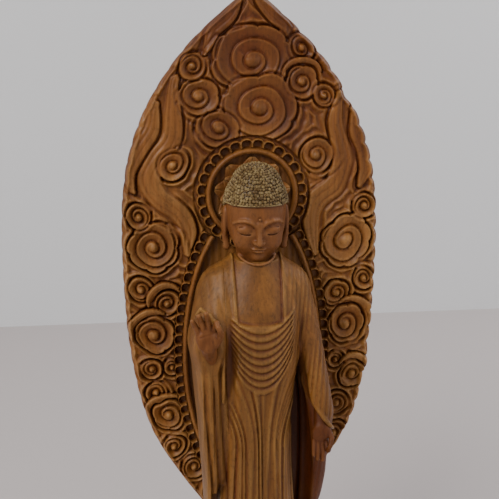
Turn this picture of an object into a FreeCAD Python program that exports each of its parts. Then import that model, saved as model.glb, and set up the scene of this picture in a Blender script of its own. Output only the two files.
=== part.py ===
"""Carved wooden standing figure on a lotus throne, with a boat-shaped halo behind it.

Every size is in millimetres. +Z is up, -Y is the side that the figure faces, and the origin is the
centre of the throne's underside. The figure and the halo each lift straight up out of the lotus seat:
the figure on two foot tenons, the halo on one tenon behind the heels.
"""

import FreeCAD, Part
import math
import os
import re
import Sketcher
from FreeCAD import Placement, Rotation, Vector

doc = FreeCAD.newDocument("StandingFigure")
sheet = doc.addObject("Spreadsheet::Sheet", "Dimensions")

# The driving dimensions: alias, value in millimetres or degrees or a count, what it is.
DRIVING = [
    ("plinth_flats", 102, "lower plinth, across its flats"),
    ("plinth_lower_height", 11, "lower plinth, height"),
    ("plinth_upper_flats", 86, "upper plinth, across its flats"),
    ("plinth_upper_height", 7, "upper plinth, height"),
    ("plinth_bevel", 1.6, "bevel along the top edge of each plinth"),
    ("plinth_foot_radius", 37, "radius on which the plinth dowels stand"),
    ("dowel_radius", 1.5, "plinth dowels"),
    ("dowel_length", 9, "plinth dowels"),
    ("turned_petals_radius", 38, "downturned lotus, radius at its foot"),
    ("turned_petals_height", 9.5, "downturned lotus, height"),
    ("neck_radius", 20, "collar between the downturned lotus and the drum"),
    ("collar_height", 2.5, "collar, height"),
    ("drum_radius", 17.5, "drum under the seat, radius at its bulge"),
    ("drum_height", 5, "drum under the seat, height"),
    ("spindle_radius", 4, "spindle through the throne"),
    ("spindle_foot", 4, "height of the spindle's lower end"),
    ("spindle_head", 41, "height of the spindle's upper end"),
    ("seat_radius", 34, "lotus seat, radius of its flat top"),
    ("seat_top", 55, "height of the lotus seat's flat top"),
    ("petal_shell_radius", 36.4, "inside radius of the innermost row of petals"),
    ("petal_shell_centre", 52, "height of the centre of all petal shells"),
    ("petal_thickness", 2.4, "petal, thickness"),
    ("petal_row_gap", 0.3, "space between two rows of petals"),
    ("petal_width", 25, "petal, greatest width"),
    ("petal_count", 8, "petals in one row"),
    ("halo_tip", 308, "height of the halo's point"),
    ("halo_foot", 66, "height of the halo's lower end"),
    ("halo_half_width", 54.4, "half of the halo's greatest width"),
    ("halo_front", 18, "distance of the halo's carved face behind the origin"),
    ("halo_thickness", 6.5, "halo board, thickness"),
    ("halo_rim_bevel", 1.2, "bevel round the halo's back edge"),
    ("stem_width", 12, "halo stem, width"),
    ("stem_thickness", 5.5, "halo stem, thickness"),
    ("stem_top", 150, "height of the halo stem's upper end"),
    ("tenon_depth", 14, "depth of the halo tenon in the seat"),
    ("stem_peg_radius", 1.2, "bamboo pegs through the stem"),
    ("nimbus_height", 227.3, "height of the head nimbus's centre"),
    ("nimbus_inner", 16.8, "head nimbus, inner radius"),
    ("nimbus_outer", 24, "head nimbus, outer radius"),
    ("nimbus_proud", 2, "how far both nimbus bands stand in front of the board"),
    ("oval_height", 157, "height of the body nimbus's centre"),
    ("oval_half_width", 33.6, "body nimbus, half width outside"),
    ("oval_half_height", 70, "body nimbus, half height outside"),
    ("oval_band", 5.6, "body nimbus, width of the band"),
    ("rosette_radius", 15.5, "lotus rosette behind the head"),
    ("rosette_depth", 2.6, "lotus rosette, thickness"),
    ("flank", 14, "distance of the glued arm joints from the middle plane"),
    ("body_foot", 60.5, "height of the robe's hem on the body block"),
    ("arm_foot", 90, "height of the lower end of both sleeves"),
    ("head_height", 223.5, "height of the skull's centre"),
    ("head_half_width", 12.6, "skull, half width"),
    ("head_half_depth", 14, "skull, half depth"),
    ("head_half_height", 16.4, "skull, half height"),
    ("topknot_radius", 7.6, "cranial bump, radius"),
    ("topknot_height", 236.6, "height of the cranial bump's centre"),
    ("neck_plug_radius", 7.5, "neck and its plug"),
    ("neck_plug_foot", 189, "height of the neck plug's lower end"),
    ("ear_height", 16, "ear, height"),
    ("wrist_radius", 2.5, "wrist and its tenon"),
    ("wrist_tenon", 5, "wrist tenon, depth in the sleeve"),
    ("palm_width", 8.4, "palm, width"),
    ("palm_length", 8, "palm, length"),
    ("palm_thickness", 4.2, "palm, thickness"),
    ("finger_radius", 1.0, "fingers"),
    ("finger_length", 7.5, "fingers"),
    ("foot_spacing", 18, "distance between the middles of the feet"),
    ("foot_width", 9.6, "foot, width"),
    ("foot_length", 36, "foot, length with the part under the robe"),
    ("foot_toe", -31, "front end of the toes"),
    ("foot_tenon_width", 7, "foot tenon, width"),
    ("foot_tenon_length", 9, "foot tenon, length"),
    ("foot_tenon_depth", 12, "depth of the foot tenon in the seat"),
    ("foot_tenon_rise", 12, "height of the foot tenon inside the robe"),
    ("tenon_clearance", 0.25, "space round a tenon that lifts out"),
]
for row, (alias, value, meaning) in enumerate(DRIVING, start=1):
    sheet.set(f"A{row}", meaning)
    sheet.set(f"B{row}", str(value))
    sheet.setAlias(f"B{row}", alias)
doc.recompute()


def bound(expression):
    """An expression over the driving dimensions, such as "seat_top - 5", as FreeCAD reads it."""
    return re.sub(r"[a-z][a-z_]*", r"Dimensions.\g<0>", expression)


def size(expression):
    """The present value of such an expression."""
    return float(sheet.evalExpression(bound(expression)))


def bind(item, **values):
    """Ties properties of a document object to the spreadsheet. x, y and z are its position."""
    for name, expression in values.items():
        path = "Placement.Base." + name if name in "xyz" else name
        item.setExpression(path, bound(expression))


def make(kind, name, turn=None, **values):
    """A primitive of the Part workbench, with its sizes and position tied to the spreadsheet."""
    item = doc.addObject(kind, name)
    if turn:
        item.Placement = Placement(Vector(), Rotation(Vector(*turn[0]), turn[1]))
    bind(item, **values)
    return item


def fuse(name, *pieces):
    """Several solids as one."""
    item = doc.addObject("Part::MultiFuse", name)
    item.Shapes = list(pieces)
    item.Refine = True
    return item


def common(name, *pieces):
    """What several solids share."""
    item = doc.addObject("Part::MultiCommon", name)
    item.Shapes = list(pieces)
    return item


def cut(name, base, *tools):
    """Base without the tools, one Part::Cut after another. The last one has the name."""
    for number, tool in enumerate(tools, start=1):
        item = doc.addObject("Part::Cut", name if number == len(tools) else f"{name}_cut{number}")
        item.Base = base
        item.Tool = tool
        base = item
    return base


# ---------------------------------------------------------------- sketched bodies


def body_with_sketch(label, role):
    """A PartDesign body and a sketch on one of its origin planes."""
    body = doc.addObject("PartDesign::Body", label)
    plane = next(f for f in body.Origin.OriginFeatures if f.Role == role)
    sketch = body.newObject("Sketcher::SketchObject", label + "_sketch")
    sketch.AttachmentSupport = (plane, [""])
    sketch.MapMode = "FlatFace"
    return body, sketch


def draw_polygon(sketch, corners):
    """A closed polygon whose corners are pairs of expressions. Each corner is tied to the spreadsheet."""
    points = [Vector(size(a), size(b), 0) for a, b in corners]
    count = len(points)
    for i in range(count):
        sketch.addGeometry(Part.LineSegment(points[i], points[(i + 1) % count]), False)
    for i in range(count):
        sketch.addConstraint(Sketcher.Constraint("Coincident", i, 2, (i + 1) % count, 1))
    for i, corner in enumerate(corners):
        for kind, axis, expression in (("DistanceX", -2, corner[0]), ("DistanceY", -1, corner[1])):
            if size(expression) == 0:
                sketch.addConstraint(Sketcher.Constraint("PointOnObject", i, 1, axis))
            else:
                constraint = Sketcher.Constraint(kind, -1, 1, i, 1, size(expression))
                number = sketch.addConstraint(constraint)
                sketch.setExpression(f"Constraints[{number}]", bound(expression))


def turned(label, corners):
    """A piece turned on the lathe: a profile of radius and height corners, revolved about Z."""
    body, sketch = body_with_sketch(label, "XZ_Plane")
    draw_polygon(sketch, corners)
    feature = body.newObject("PartDesign::Revolution", label + "_turning")
    feature.Profile = sketch
    feature.ReferenceAxis = (sketch, ["V_Axis"])
    feature.Angle = 360
    doc.recompute()
    return body, feature


def ease_edges(body, feature, kind, amount, wanted):
    """A Fillet or Chamfer of that size on the feature's edges for which wanted(edge) holds."""
    names = [f"Edge{i}" for i, e in enumerate(feature.Shape.Edges, start=1) if wanted(e)]
    dressing = body.newObject("PartDesign::" + kind, body.Label + "_" + kind.lower())
    dressing.Base = (feature, names)
    dressing.setExpression("Radius" if kind == "Fillet" else "Size", bound(amount))
    doc.recompute()
    return dressing


def octagon_plinth(label, flats, foot, height):
    """An eight-sided step of the plinth, with its top edge bevelled."""
    body, sketch = body_with_sketch(label, "XY_Plane")
    apothem = flats + " / 2"
    half_side = f"{flats} / 2 * {math.tan(math.pi / 8):.6f}"
    draw_polygon(sketch, [
        (apothem, "-" + half_side),
        (apothem, half_side),
        (half_side, apothem),
        ("-" + half_side, apothem),
        ("-" + apothem, half_side),
        ("-" + apothem, "-" + half_side),
        ("-" + half_side, "-" + apothem),
        (half_side, "-" + apothem),
    ])
    sketch.setExpression("AttachmentOffset.Base.z", bound(foot))
    pad = body.newObject("PartDesign::Pad", label + "_pad")
    pad.Profile = sketch
    pad.setExpression("Length", bound(height))
    doc.recompute()
    top = size(foot) + size(height)
    return body, ease_edges(
        body, pad, "Chamfer", "plinth_bevel", lambda e: abs(e.BoundBox.ZMin - top) < 1e-4
    )


# ---------------------------------------------------------------- the throne


def throne():
    """Plinth, downturned lotus, collar, drum, seat and the pins that hold them."""
    upper_top = "plinth_lower_height + plinth_upper_height"
    lotus_top = upper_top + " + turned_petals_height"
    collar_top = lotus_top + " + collar_height"
    drum_top = collar_top + " + drum_height"
    octagon_plinth("plinth_lower_block", "plinth_flats", "0", "plinth_lower_height")
    octagon_plinth(
        "plinth_upper_block", "plinth_upper_flats", "plinth_lower_height", "plinth_upper_height"
    )
    turned("turned_petals_block", [
        ("0", upper_top),
        ("turned_petals_radius", upper_top),
        ("turned_petals_radius", upper_top + " + 2"),
        ("turned_petals_radius - 4", upper_top + " + 5.5"),
        ("turned_petals_radius - 11", lotus_top + " - 1"),
        ("neck_radius + 1", lotus_top),
        ("0", lotus_top),
    ])
    collar, ring = turned("waist_collar_block", [
        ("0", lotus_top),
        ("neck_radius", lotus_top),
        ("neck_radius", collar_top),
        ("0", collar_top),
    ])
    ease_edges(collar, ring, "Fillet", "collar_height / 3", lambda e: e.Length > size("neck_radius"))
    turned("waist_drum_block", [
        ("0", collar_top),
        ("drum_radius - 2", collar_top),
        ("drum_radius", collar_top + " + drum_height / 3"),
        ("drum_radius", drum_top + " - drum_height / 3"),
        ("drum_radius - 2", drum_top),
        ("0", drum_top),
    ])
    turned("lotus_seat_block", [
        ("0", drum_top),
        ("drum_radius", drum_top),
        ("seat_radius - 4", drum_top + " + 4"),
        ("seat_radius - 0.8", "seat_top - tenon_depth + 2"),
        ("seat_radius", "seat_top - 1.5"),
        ("seat_radius - 0.8", "seat_top"),
        ("0", "seat_top"),
    ])
    spindle = make(
        "Part::Cylinder", "centre_spindle",
        Radius="spindle_radius", Height="spindle_head - spindle_foot", z="spindle_foot",
    )
    dowels = plinth_dowels()
    foot_mortises = [foot_prism(f"foot_mortise_{side}", sign, "tenon_clearance",
                                "seat_top - foot_tenon_depth", "foot_tenon_depth")
                     for side, sign in (("right", "-"), ("left", ""))]
    halo_mortise = stem_prism("halo_mortise", "tenon_clearance", "seat_top - tenon_depth", "tenon_depth")
    keep("plinth_lower", cut("plinth_lower_cut", doc.plinth_lower_block, spindle, dowels))
    keep("plinth_upper", cut("plinth_upper_cut", doc.plinth_upper_block, spindle, dowels))
    keep("reversed_lotus", cut("reversed_lotus_cut", doc.turned_petals_block, spindle))
    keep("waist_collar", cut("waist_collar_cut", doc.waist_collar_block, spindle))
    keep("waist_drum", cut("waist_drum_cut", doc.waist_drum_block, spindle))
    keep("lotus_seat", cut("lotus_seat_cut", doc.lotus_seat_block, spindle, *foot_mortises, halo_mortise))
    keep("centre_dowel", spindle)
    keep("plinth_dowels", dowels)
    petal_rows()


def plinth_dowels():
    """Four small dowels, half in each step of the plinth."""
    pins = []
    for i in range(4):
        angle = math.radians(45 + 90 * i)
        pin = make("Part::Cylinder", f"plinth_pin{i + 1}", Radius="dowel_radius", Height="dowel_length",
                   z="plinth_lower_height - dowel_length / 2")
        for axis, share in (("x", math.cos(angle)), ("y", math.sin(angle))):
            bind(pin, **{axis: f"plinth_foot_radius * {share:.6f}"})
        pins.append(pin)
    group = doc.addObject("Part::Compound", "plinth_pins")
    group.Links = pins
    return group


def petal_outline(name, foot, shoulder, tip):
    """A pointed-arch prism that cuts one petal out of a shell. It reaches out along -Y."""
    half = size("petal_width") / 2
    low, mid, high = size(foot), size(shoulder), size(tip)
    edges = [
        Part.LineSegment(Vector(-half * 0.62, 0, low), Vector(half * 0.62, 0, low)),
        Part.Arc(Vector(half * 0.62, 0, low), Vector(half * 0.93, 0, (low + mid) / 2), Vector(half, 0, mid)),
        Part.Arc(Vector(half, 0, mid), Vector(half * 0.64, 0, (mid + 2 * high) / 3), Vector(0, 0, high)),
        Part.Arc(Vector(0, 0, high), Vector(-half * 0.64, 0, (mid + 2 * high) / 3), Vector(-half, 0, mid)),
        Part.Arc(Vector(-half, 0, mid), Vector(-half * 0.93, 0, (low + mid) / 2), Vector(-half * 0.62, 0, low)),
    ]
    reach = size("petal_shell_radius") + 12
    face = Part.Face(Part.Wire([e.toShape() for e in edges]))
    item = doc.addObject("Part::Feature", name)
    item.Shape = face.extrude(Vector(0, -reach, 0))
    return item


def petal_rows():
    """Three rows of petals round the seat, each row one shell outside the last, half a petal apart."""
    step = "petal_thickness + petal_row_gap"
    rows = [
        ("lotus_petals_upper", 0, 0.0, "seat_top - 16", "seat_top - 6", "seat_top + 3.5"),
        ("lotus_petals_middle", 1, 0.5, "seat_top - 19", "seat_top - 11", "seat_top - 3"),
        ("lotus_petals_lower", 2, 0.0, "seat_top - 21.5", "seat_top - 15", "seat_top - 9"),
    ]
    for label, number, shift, foot, shoulder, tip in rows:
        inside = " + ".join(["petal_shell_radius"] + [step] * number)
        hollow = make("Part::Sphere", label + "_hollow", Radius=inside, z="petal_shell_centre")
        outer = make("Part::Sphere", label + "_ball", Radius=inside + " + petal_thickness",
                     z="petal_shell_centre")
        shell = cut(label + "_shell", outer, hollow)
        one = common(label + "_petal", shell, petal_outline(label + "_arch", foot, shoulder, tip))
        doc.recompute()
        count = int(size("petal_count"))
        copies = []
        for i in range(count):
            petal = one.Shape.copy()
            petal.rotate(Vector(), Vector(0, 0, 1), 360.0 / count * (i + shift))
            copies.append(petal)
        group = doc.addObject("Part::Feature", label + "_all")
        group.Shape = Part.makeCompound(copies)
        keep(label, group)


# ---------------------------------------------------------------- tenons that lift out


def foot_prism(name, sign, clearance, foot, height):
    """The rectangular bar of one foot tenon, or its mortise when clearance isn't zero."""
    return make(
        "Part::Box", name,
        Length=f"foot_tenon_width + {clearance} * 2",
        Width=f"foot_tenon_length + {clearance} * 2",
        Height=height,
        x=f"{sign}foot_spacing / 2 - foot_tenon_width / 2 - {clearance}",
        y=f"-6 - foot_tenon_length / 2 - {clearance}",
        z=foot,
    )


def stem_prism(name, clearance, foot, height):
    """The rectangular bar of the halo's tenon, or its mortise when clearance isn't zero."""
    return make(
        "Part::Box", name,
        Length=f"stem_width + {clearance} * 2",
        Width=f"stem_thickness + {clearance} * 2",
        Height=height,
        x=f"-stem_width / 2 - {clearance}",
        y=f"halo_front + halo_thickness - {clearance}",
        z=foot,
    )


# ---------------------------------------------------------------- the halo

# The halo's edge, from its lower end to its point: share of the height, share of the half width.
HALO_EDGE = [
    (0.00, 0.17), (0.08, 0.37), (0.16, 0.61), (0.23, 0.80), (0.31, 0.91), (0.43, 0.985),
    (0.58, 1.00), (0.72, 0.945), (0.81, 0.79), (0.885, 0.57), (0.95, 0.285), (1.00, 0.00),
]


def halo_board():
    """The boat-shaped board, flat at its foot and pointed at its head, bevelled behind."""
    low, high = size("halo_foot"), size("halo_tip")
    wide, face = size("halo_half_width"), size("halo_front")

    def side(sign):
        points = [Vector(sign * wide * w, face, low + (high - low) * h) for h, w in HALO_EDGE]
        curve = Part.BSplineCurve()
        curve.interpolate(points)
        return curve.toShape(), points[0]

    right, right_foot = side(1)
    left, left_foot = side(-1)
    foot = Part.LineSegment(left_foot, right_foot).toShape()
    outline = doc.addObject("Part::Feature", "halo_outline")
    outline.Shape = Part.Wire(Part.__sortEdges__([foot, right, left]))
    board = doc.addObject("Part::Extrusion", "halo_slab")
    board.Base = outline
    board.DirMode = "Custom"
    board.Dir = Vector(0, 1, 0)
    board.Solid = True
    bind(board, LengthFwd="halo_thickness")
    doc.recompute()
    return board


def halo():
    """Board, stem with its tenon, pegs, two nimbus bands and the rosette behind the head."""
    forward = ((1, 0, 0), 90)
    band_front = "halo_front - nimbus_proud"
    pegs = []
    for i, height in enumerate(("halo_foot + 18", "stem_top - 14"), start=1):
        pegs.append(make(
            "Part::Cylinder", f"stem_peg{i}", forward, Radius="stem_peg_radius",
            Height="stem_thickness + halo_thickness / 2",
            y="halo_front + halo_thickness + stem_thickness", z=height,
        ))
    peg_group = doc.addObject("Part::Compound", "stem_pegs")
    peg_group.Links = pegs
    stem = stem_prism("stem_bar", "0", "seat_top - tenon_depth", "stem_top - seat_top + tenon_depth")
    keep("halo_panel", cut("halo_panel_cut", halo_board(), peg_group))
    keep("halo_stem", cut("halo_stem_cut", stem, peg_group))
    keep("halo_stem_pegs", peg_group)

    outer = make("Part::Cylinder", "nimbus_disc", forward, Radius="nimbus_outer", Height="nimbus_proud",
                 y="halo_front", z="nimbus_height")
    inner = make("Part::Cylinder", "nimbus_hole", forward, Radius="nimbus_inner", Height="nimbus_proud",
                 y="halo_front", z="nimbus_height")
    keep("nimbus_head_ring", cut("nimbus_ring_cut", outer, inner))

    ovals = []
    for name, shrink in (("oval_outside", "0"), ("oval_inside", "oval_band")):
        ellipse = make(
            "Part::Ellipse", name, turn=((1, 0, 0), 90),
            MajorRadius=f"oval_half_height - {shrink}", MinorRadius=f"oval_half_width - {shrink}",
            y=band_front, z="oval_height",
        )
        upright = Rotation(Vector(1, 0, 0), 90).multiply(Rotation(Vector(0, 0, 1), 90))
        ellipse.Placement = Placement(ellipse.Placement.Base, upright)
        slab = doc.addObject("Part::Extrusion", name + "_slab")
        slab.Base = ellipse
        slab.DirMode = "Custom"
        slab.Dir = Vector(0, 1, 0)
        slab.Solid = True
        bind(slab, LengthFwd="nimbus_proud")
        ovals.append(slab)
    keep("nimbus_body_ring", cut("nimbus_oval_cut", ovals[0], ovals[1], outer))

    disc = make("Part::Cylinder", "rosette_disc", forward, Radius="rosette_radius", Height="rosette_depth",
                y="halo_front", z="nimbus_height")
    keep("head_lotus", disc)


# ---------------------------------------------------------------- the figure


def lofted(name, sections, upright_major):
    """A loft through ellipses given as height, centre x, centre y, half width and half depth.

    upright_major is True where the ellipses are deeper (along Y) than they are wide.
    """
    rings = []
    for i, (height, cx, cy, half_width, half_depth) in enumerate(sections, start=1):
        major, minor = (half_depth, half_width) if upright_major else (half_width, half_depth)
        ring = make(
            "Part::Ellipse", f"{name}_ring{i}", turn=((0, 0, 1), 90) if upright_major else None,
            MajorRadius=major, MinorRadius=minor, x=cx, y=cy, z=height,
        )
        rings.append(ring)
    loft = doc.addObject("Part::Loft", name)
    loft.Sections = rings
    loft.Solid = True
    loft.Ruled = True
    return loft


def side_box(name, corner_x, length, foot, height):
    """A tall box, deeper than the figure, that trims a block flat along a joint."""
    return make("Part::Box", name, Length=length, Width="80", Height=height, x=corner_x, y="-50", z=foot)


def hand(name, sign, x, y, wrist, up, tenon):
    """A flat palm with four fingers and a thumb, and a round wrist that runs back into the sleeve.

    up is "" for fingers that point up and "-" for fingers that point down. tenon is the wrist's length.
    """
    opposite = "-" if up == "" else ""
    palm_foot = wrist if up == "" else wrist + " - palm_length"
    palm = make("Part::Box", name + "_palm", Length="palm_width", Width="palm_thickness",
                Height="palm_length", x=f"{x} - palm_width / 2", y=f"{y} - palm_thickness / 2", z=palm_foot)
    parts = [palm]
    tip_turn = None if up == "" else ((1, 0, 0), 180)
    finger_foot = f"{wrist} + palm_length" if up == "" else f"{wrist} - palm_length"
    for i in range(4):
        along = f"{x} - palm_width / 2 + palm_width / 8 * {2 * i + 1}"
        parts.append(make("Part::Cylinder", f"{name}_finger{i + 1}", tip_turn, Radius="finger_radius",
                          Height="finger_length", x=along, y=y, z=finger_foot))
    thumb_foot = f"{wrist} + palm_length / 4" if up == "" else f"{wrist} - palm_length / 4"
    parts.append(make("Part::Cylinder", name + "_thumb", tip_turn, Radius="finger_radius * 1.2",
                      Height="finger_length", x=f"{x} {sign} palm_width / 2",
                      y=f"{y} - palm_thickness / 4", z=thumb_foot))
    parts.append(make("Part::Cylinder", name + "_wrist", None if opposite else ((1, 0, 0), 180),
                      Radius="wrist_radius", Height=tenon, x=x, y=y, z=wrist))
    return fuse(name + "_solid", *parts)


def figure():
    """The carved figure: body block, two arm blocks, head, hands, feet and foot tenons."""
    body = lofted("body_loft", [
        ("body_foot", "0", "-6.5", "21", "18.5"),
        ("body_foot + 14", "0", "-6.2", "19", "17"),
        ("body_foot + 27", "0", "-5.8", "17.8", "16"),
        ("arm_foot + 20", "0", "-5.5", "17.4", "15.8"),
        ("arm_foot + 50", "0", "-5", "18.6", "16"),
        ("arm_foot + 79", "0", "-4.2", "20", "15.6"),
        ("arm_foot + 96", "0", "-3.2", "19.4", "13.8"),
        ("arm_foot + 105", "0", "-2.4", "15.8", "11"),
        ("arm_foot + 110", "0", "-2", "12", "9.4"),
        ("arm_foot + 113", "0", "-2", "9.8", "8.8"),
    ], upright_major=False)
    flanks = [
        side_box("right_flank", "-flank - 30", "30", "arm_foot", "130"),
        side_box("left_flank", "flank", "30", "arm_foot", "130"),
    ]
    middle = side_box("middle_slab", "-flank", "flank * 2", "arm_foot - 1", "130")
    skirt = side_box("skirt_slab", "-40", "80", "body_foot - 1", "arm_foot - body_foot + 1")
    trimmed = common("body_trimmed", body, fuse("body_mask", middle, skirt))
    neck = make("Part::Cylinder", "neck_plug", Radius="neck_plug_radius",
                Height="head_height - neck_plug_foot", y="-1.5", z="neck_plug_foot")
    foot_blocks, tenons = [], []
    for side, sign in (("right", "-"), ("left", "")):
        bar = foot_prism(f"foot_tenon_{side}", sign, "0", "seat_top - foot_tenon_depth",
                         "foot_tenon_depth + body_foot - seat_top + foot_tenon_rise")
        tenons.append(bar)
        foot_blocks.append((side, foot_block(side, sign), bar))
    tenon_pair = doc.addObject("Part::Compound", "foot_tenon_pair")
    tenon_pair.Links = tenons
    keep("foot_tenons", tenon_pair)
    for side, block, bar in foot_blocks:
        keep(side + "_foot", cut(f"{side}_foot_cut", block, bar))
    keep("figure_body", cut("figure_body_cut", trimmed, neck, tenon_pair))

    arms(flanks)
    head(neck)


def foot_block(side, sign):
    """One foot: a low rounded block, most of it under the robe."""
    block = make("Part::Box", f"{side}_foot_box", Length="foot_width", Width="foot_length",
                 Height="body_foot - seat_top", x=f"{sign}foot_spacing / 2 - foot_width / 2",
                 y="foot_toe", z="seat_top")
    doc.recompute()
    fillet = doc.addObject("Part::Fillet", f"{side}_foot_block")
    fillet.Base = block
    toe = size("foot_toe")
    edges = [
        (i, 3.0, 3.0) for i, e in enumerate(block.Shape.Edges, start=1)
        if abs(e.BoundBox.YMax - toe) < 1e-6 and abs(e.BoundBox.ZLength) > 1
    ]
    fillet.Edges = edges
    return fillet


def arms(flanks):
    """Both arm blocks, from the shoulder to the end of the sleeve, and the hands let into them."""
    right_flank, left_flank = flanks
    right = lofted("right_arm_loft", [
        ("arm_foot", "-13.4", "-4.5", "7.6", "9"),
        ("arm_foot + 17", "-13.4", "-5", "8.8", "10.6"),
        ("arm_foot + 40", "-13.4", "-6", "10.2", "13"),
        ("arm_foot + 61", "-13.4", "-9", "11.6", "17.5"),
        ("arm_foot + 75", "-13.4", "-11.5", "12.6", "21"),
        ("arm_foot + 84", "-13.4", "-11.5", "12.8", "21"),
        ("arm_foot + 93", "-13.4", "-6", "12", "14"),
        ("arm_foot + 100", "-13.4", "-3", "9.6", "10.5"),
        ("arm_foot + 105", "-13.4", "-2", "6.1", "7.5"),
    ], upright_major=True)
    left = lofted("left_arm_loft", [
        ("arm_foot", "15", "-1", "9.6", "9.6"),
        ("arm_foot + 17", "15", "-1", "11.8", "11.8"),
        ("arm_foot + 32", "15.5", "-1", "13", "13.4"),
        ("arm_foot + 44", "15.5", "-3", "14.2", "15.4"),
        ("arm_foot + 52", "15", "-5.5", "14.8", "17.8"),
        ("arm_foot + 63", "14.6", "-5", "14.4", "17"),
        ("arm_foot + 84", "13.4", "-3.4", "12.8", "13.6"),
        ("arm_foot + 97", "13.4", "-3", "10.6", "11.2"),
        ("arm_foot + 105", "13.4", "-2", "6.1", "7.5"),
    ], upright_major=True)
    right_hand = hand("right_hand", "+", "-20.5", "-25.5", "arm_foot + 89", "", "wrist_tenon + 4")
    left_hand = hand("left_hand", "-", "24", "-15.5", "arm_foot + 45", "-", "wrist_tenon + 2")
    keep("right_arm", cut("right_arm_cut", common("right_arm_side", right, right_flank), right_hand))
    keep("left_arm", cut("left_arm_cut", common("left_arm_side", left, left_flank), left_hand))
    keep("right_hand", right_hand)
    keep("left_hand", left_hand)


def head(neck):
    """Skull, cranial bump, long-lobed ears, and the neck that plugs into the body block."""
    skull = make("Part::Ellipsoid", "skull", Radius1="head_half_height", Radius2="head_half_width",
                 Radius3="head_half_depth", y="-1.5", z="head_height")
    bump = make("Part::Sphere", "topknot", Radius="topknot_radius", y="1", z="topknot_height")
    ears = [
        make("Part::Box", f"{side}_ear", Length="2", Width="4.5", Height="ear_height",
             x=corner, y="-3", z="head_height - ear_height * 0.7")
        for side, corner in (("right", "-head_half_width"), ("left", "head_half_width - 2"))
    ]
    keep("head", fuse("head_solid", skull, bump, neck, *ears))


# ---------------------------------------------------------------- checking and writing

kept = {}


def keep(label, item):
    """Notes a finished sub-part. Its name becomes the name of its file."""
    item.Label = label
    kept[label] = item


def check_and_write():
    """Stops on anything that failed, then writes each sub-part's solids to parts/LABEL.step."""
    doc.recompute()
    failed = [o.Name for o in doc.Objects if {"Invalid", "Error"} & set(o.State)]
    if failed:
        raise SystemExit(f"these objects failed: {failed}")
    os.makedirs("parts", exist_ok=True)
    for old in os.listdir("parts"):
        os.remove(os.path.join("parts", old))
    for label, item in sorted(kept.items()):
        shape = item.Shape
        if shape.isNull() or not shape.isValid() or not shape.Solids or shape.Volume <= 0:
            raise SystemExit(f"{label} has no valid solid")
        shape.exportStep(os.path.join("parts", label + ".step"))
        box = shape.optimalBoundingBox()
        print(f"{label:20s} solids {len(shape.Solids):2d}  volume {shape.Volume:9.1f}  "
              f"x {box.XMin:7.2f} {box.XMax:7.2f}  y {box.YMin:7.2f} {box.YMax:7.2f}  "
              f"z {box.ZMin:7.2f} {box.ZMax:7.2f}")


throne()
halo()
figure()
check_and_write()
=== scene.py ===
import math

import bpy
import numpy as np
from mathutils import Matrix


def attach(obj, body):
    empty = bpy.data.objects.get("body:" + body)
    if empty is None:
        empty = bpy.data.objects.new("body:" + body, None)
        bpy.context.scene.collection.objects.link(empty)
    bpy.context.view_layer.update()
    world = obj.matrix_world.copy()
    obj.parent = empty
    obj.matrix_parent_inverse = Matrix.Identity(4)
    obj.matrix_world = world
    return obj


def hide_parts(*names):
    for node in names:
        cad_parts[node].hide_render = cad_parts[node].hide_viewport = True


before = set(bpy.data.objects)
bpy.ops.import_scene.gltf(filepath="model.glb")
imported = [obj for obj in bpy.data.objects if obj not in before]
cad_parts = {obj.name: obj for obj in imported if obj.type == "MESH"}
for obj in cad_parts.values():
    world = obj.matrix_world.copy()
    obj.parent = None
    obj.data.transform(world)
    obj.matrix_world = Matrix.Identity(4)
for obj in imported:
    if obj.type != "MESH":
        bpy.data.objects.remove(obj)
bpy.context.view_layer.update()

import openvdb
from mathutils import Vector

MM = 0.001
TAU = 2 * math.pi
SHARP_EDGE = math.radians(62)  # edges that turn more than this stay sharp

# Everything below is worked out in millimetres, in the frame of the CAD part, and scaled in add_mesh().


# ------------------------------------------------------------------ meshes


def add_mesh(name, points, quads, triangles=(), wear=None):
    """A smooth-shaded mesh object from points in millimetres.

    wear is one value for each point: 0 in a hollow that holds dirt, 0.5 on plain ground, 1 on a rubbed edge.
    On the figure's cloth and its lowered hand, painted shade lowers it as well.
    """
    points = np.asarray(points, np.float32) * MM
    quads = np.asarray(quads, np.int32).reshape(-1, 4)
    triangles = np.asarray(triangles, np.int32).reshape(-1, 3)
    corners = np.concatenate([quads.ravel(), triangles.ravel()]).astype(np.int32)
    sizes = np.concatenate([np.full(len(quads), 4), np.full(len(triangles), 3)])
    mesh = bpy.data.meshes.new(name)
    mesh.vertices.add(len(points))
    mesh.vertices.foreach_set("co", points.ravel())
    mesh.loops.add(len(corners))
    mesh.loops.foreach_set("vertex_index", corners)
    mesh.polygons.add(len(sizes))
    starts = np.concatenate([[0], np.cumsum(sizes)[:-1]]).astype(np.int32)
    mesh.polygons.foreach_set("loop_start", starts)
    mesh.polygons.foreach_set("use_smooth", np.ones(len(sizes), bool))
    mesh.update(calc_edges=True)
    values = np.full(len(points), 0.5) if wear is None else np.clip(np.ravel(wear), 0, 1)
    mesh.attributes.new("wear", "FLOAT", "POINT").data.foreach_set("value", values.astype(np.float32))
    mesh.validate()
    mesh.set_sharp_from_angle(angle=SHARP_EDGE)
    item = bpy.data.objects.new(name, mesh)
    bpy.context.scene.collection.objects.link(item)
    return item


def averaged(values, reach, axes):
    """A field averaged over a square or cube that reaches so many cells each way."""
    for axis in axes:
        pad = [(0, 0)] * values.ndim
        pad[axis] = (reach + 1, reach)
        total = np.cumsum(np.pad(values, pad, mode="edge"), axis=axis, dtype=np.float32)
        count = values.shape[axis]
        high = np.take(total, np.arange(2 * reach + 1, 2 * reach + 1 + count), axis=axis)
        low = np.take(total, np.arange(0, count), axis=axis)
        values = (high - low) / (2 * reach + 1)
    return values


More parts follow.
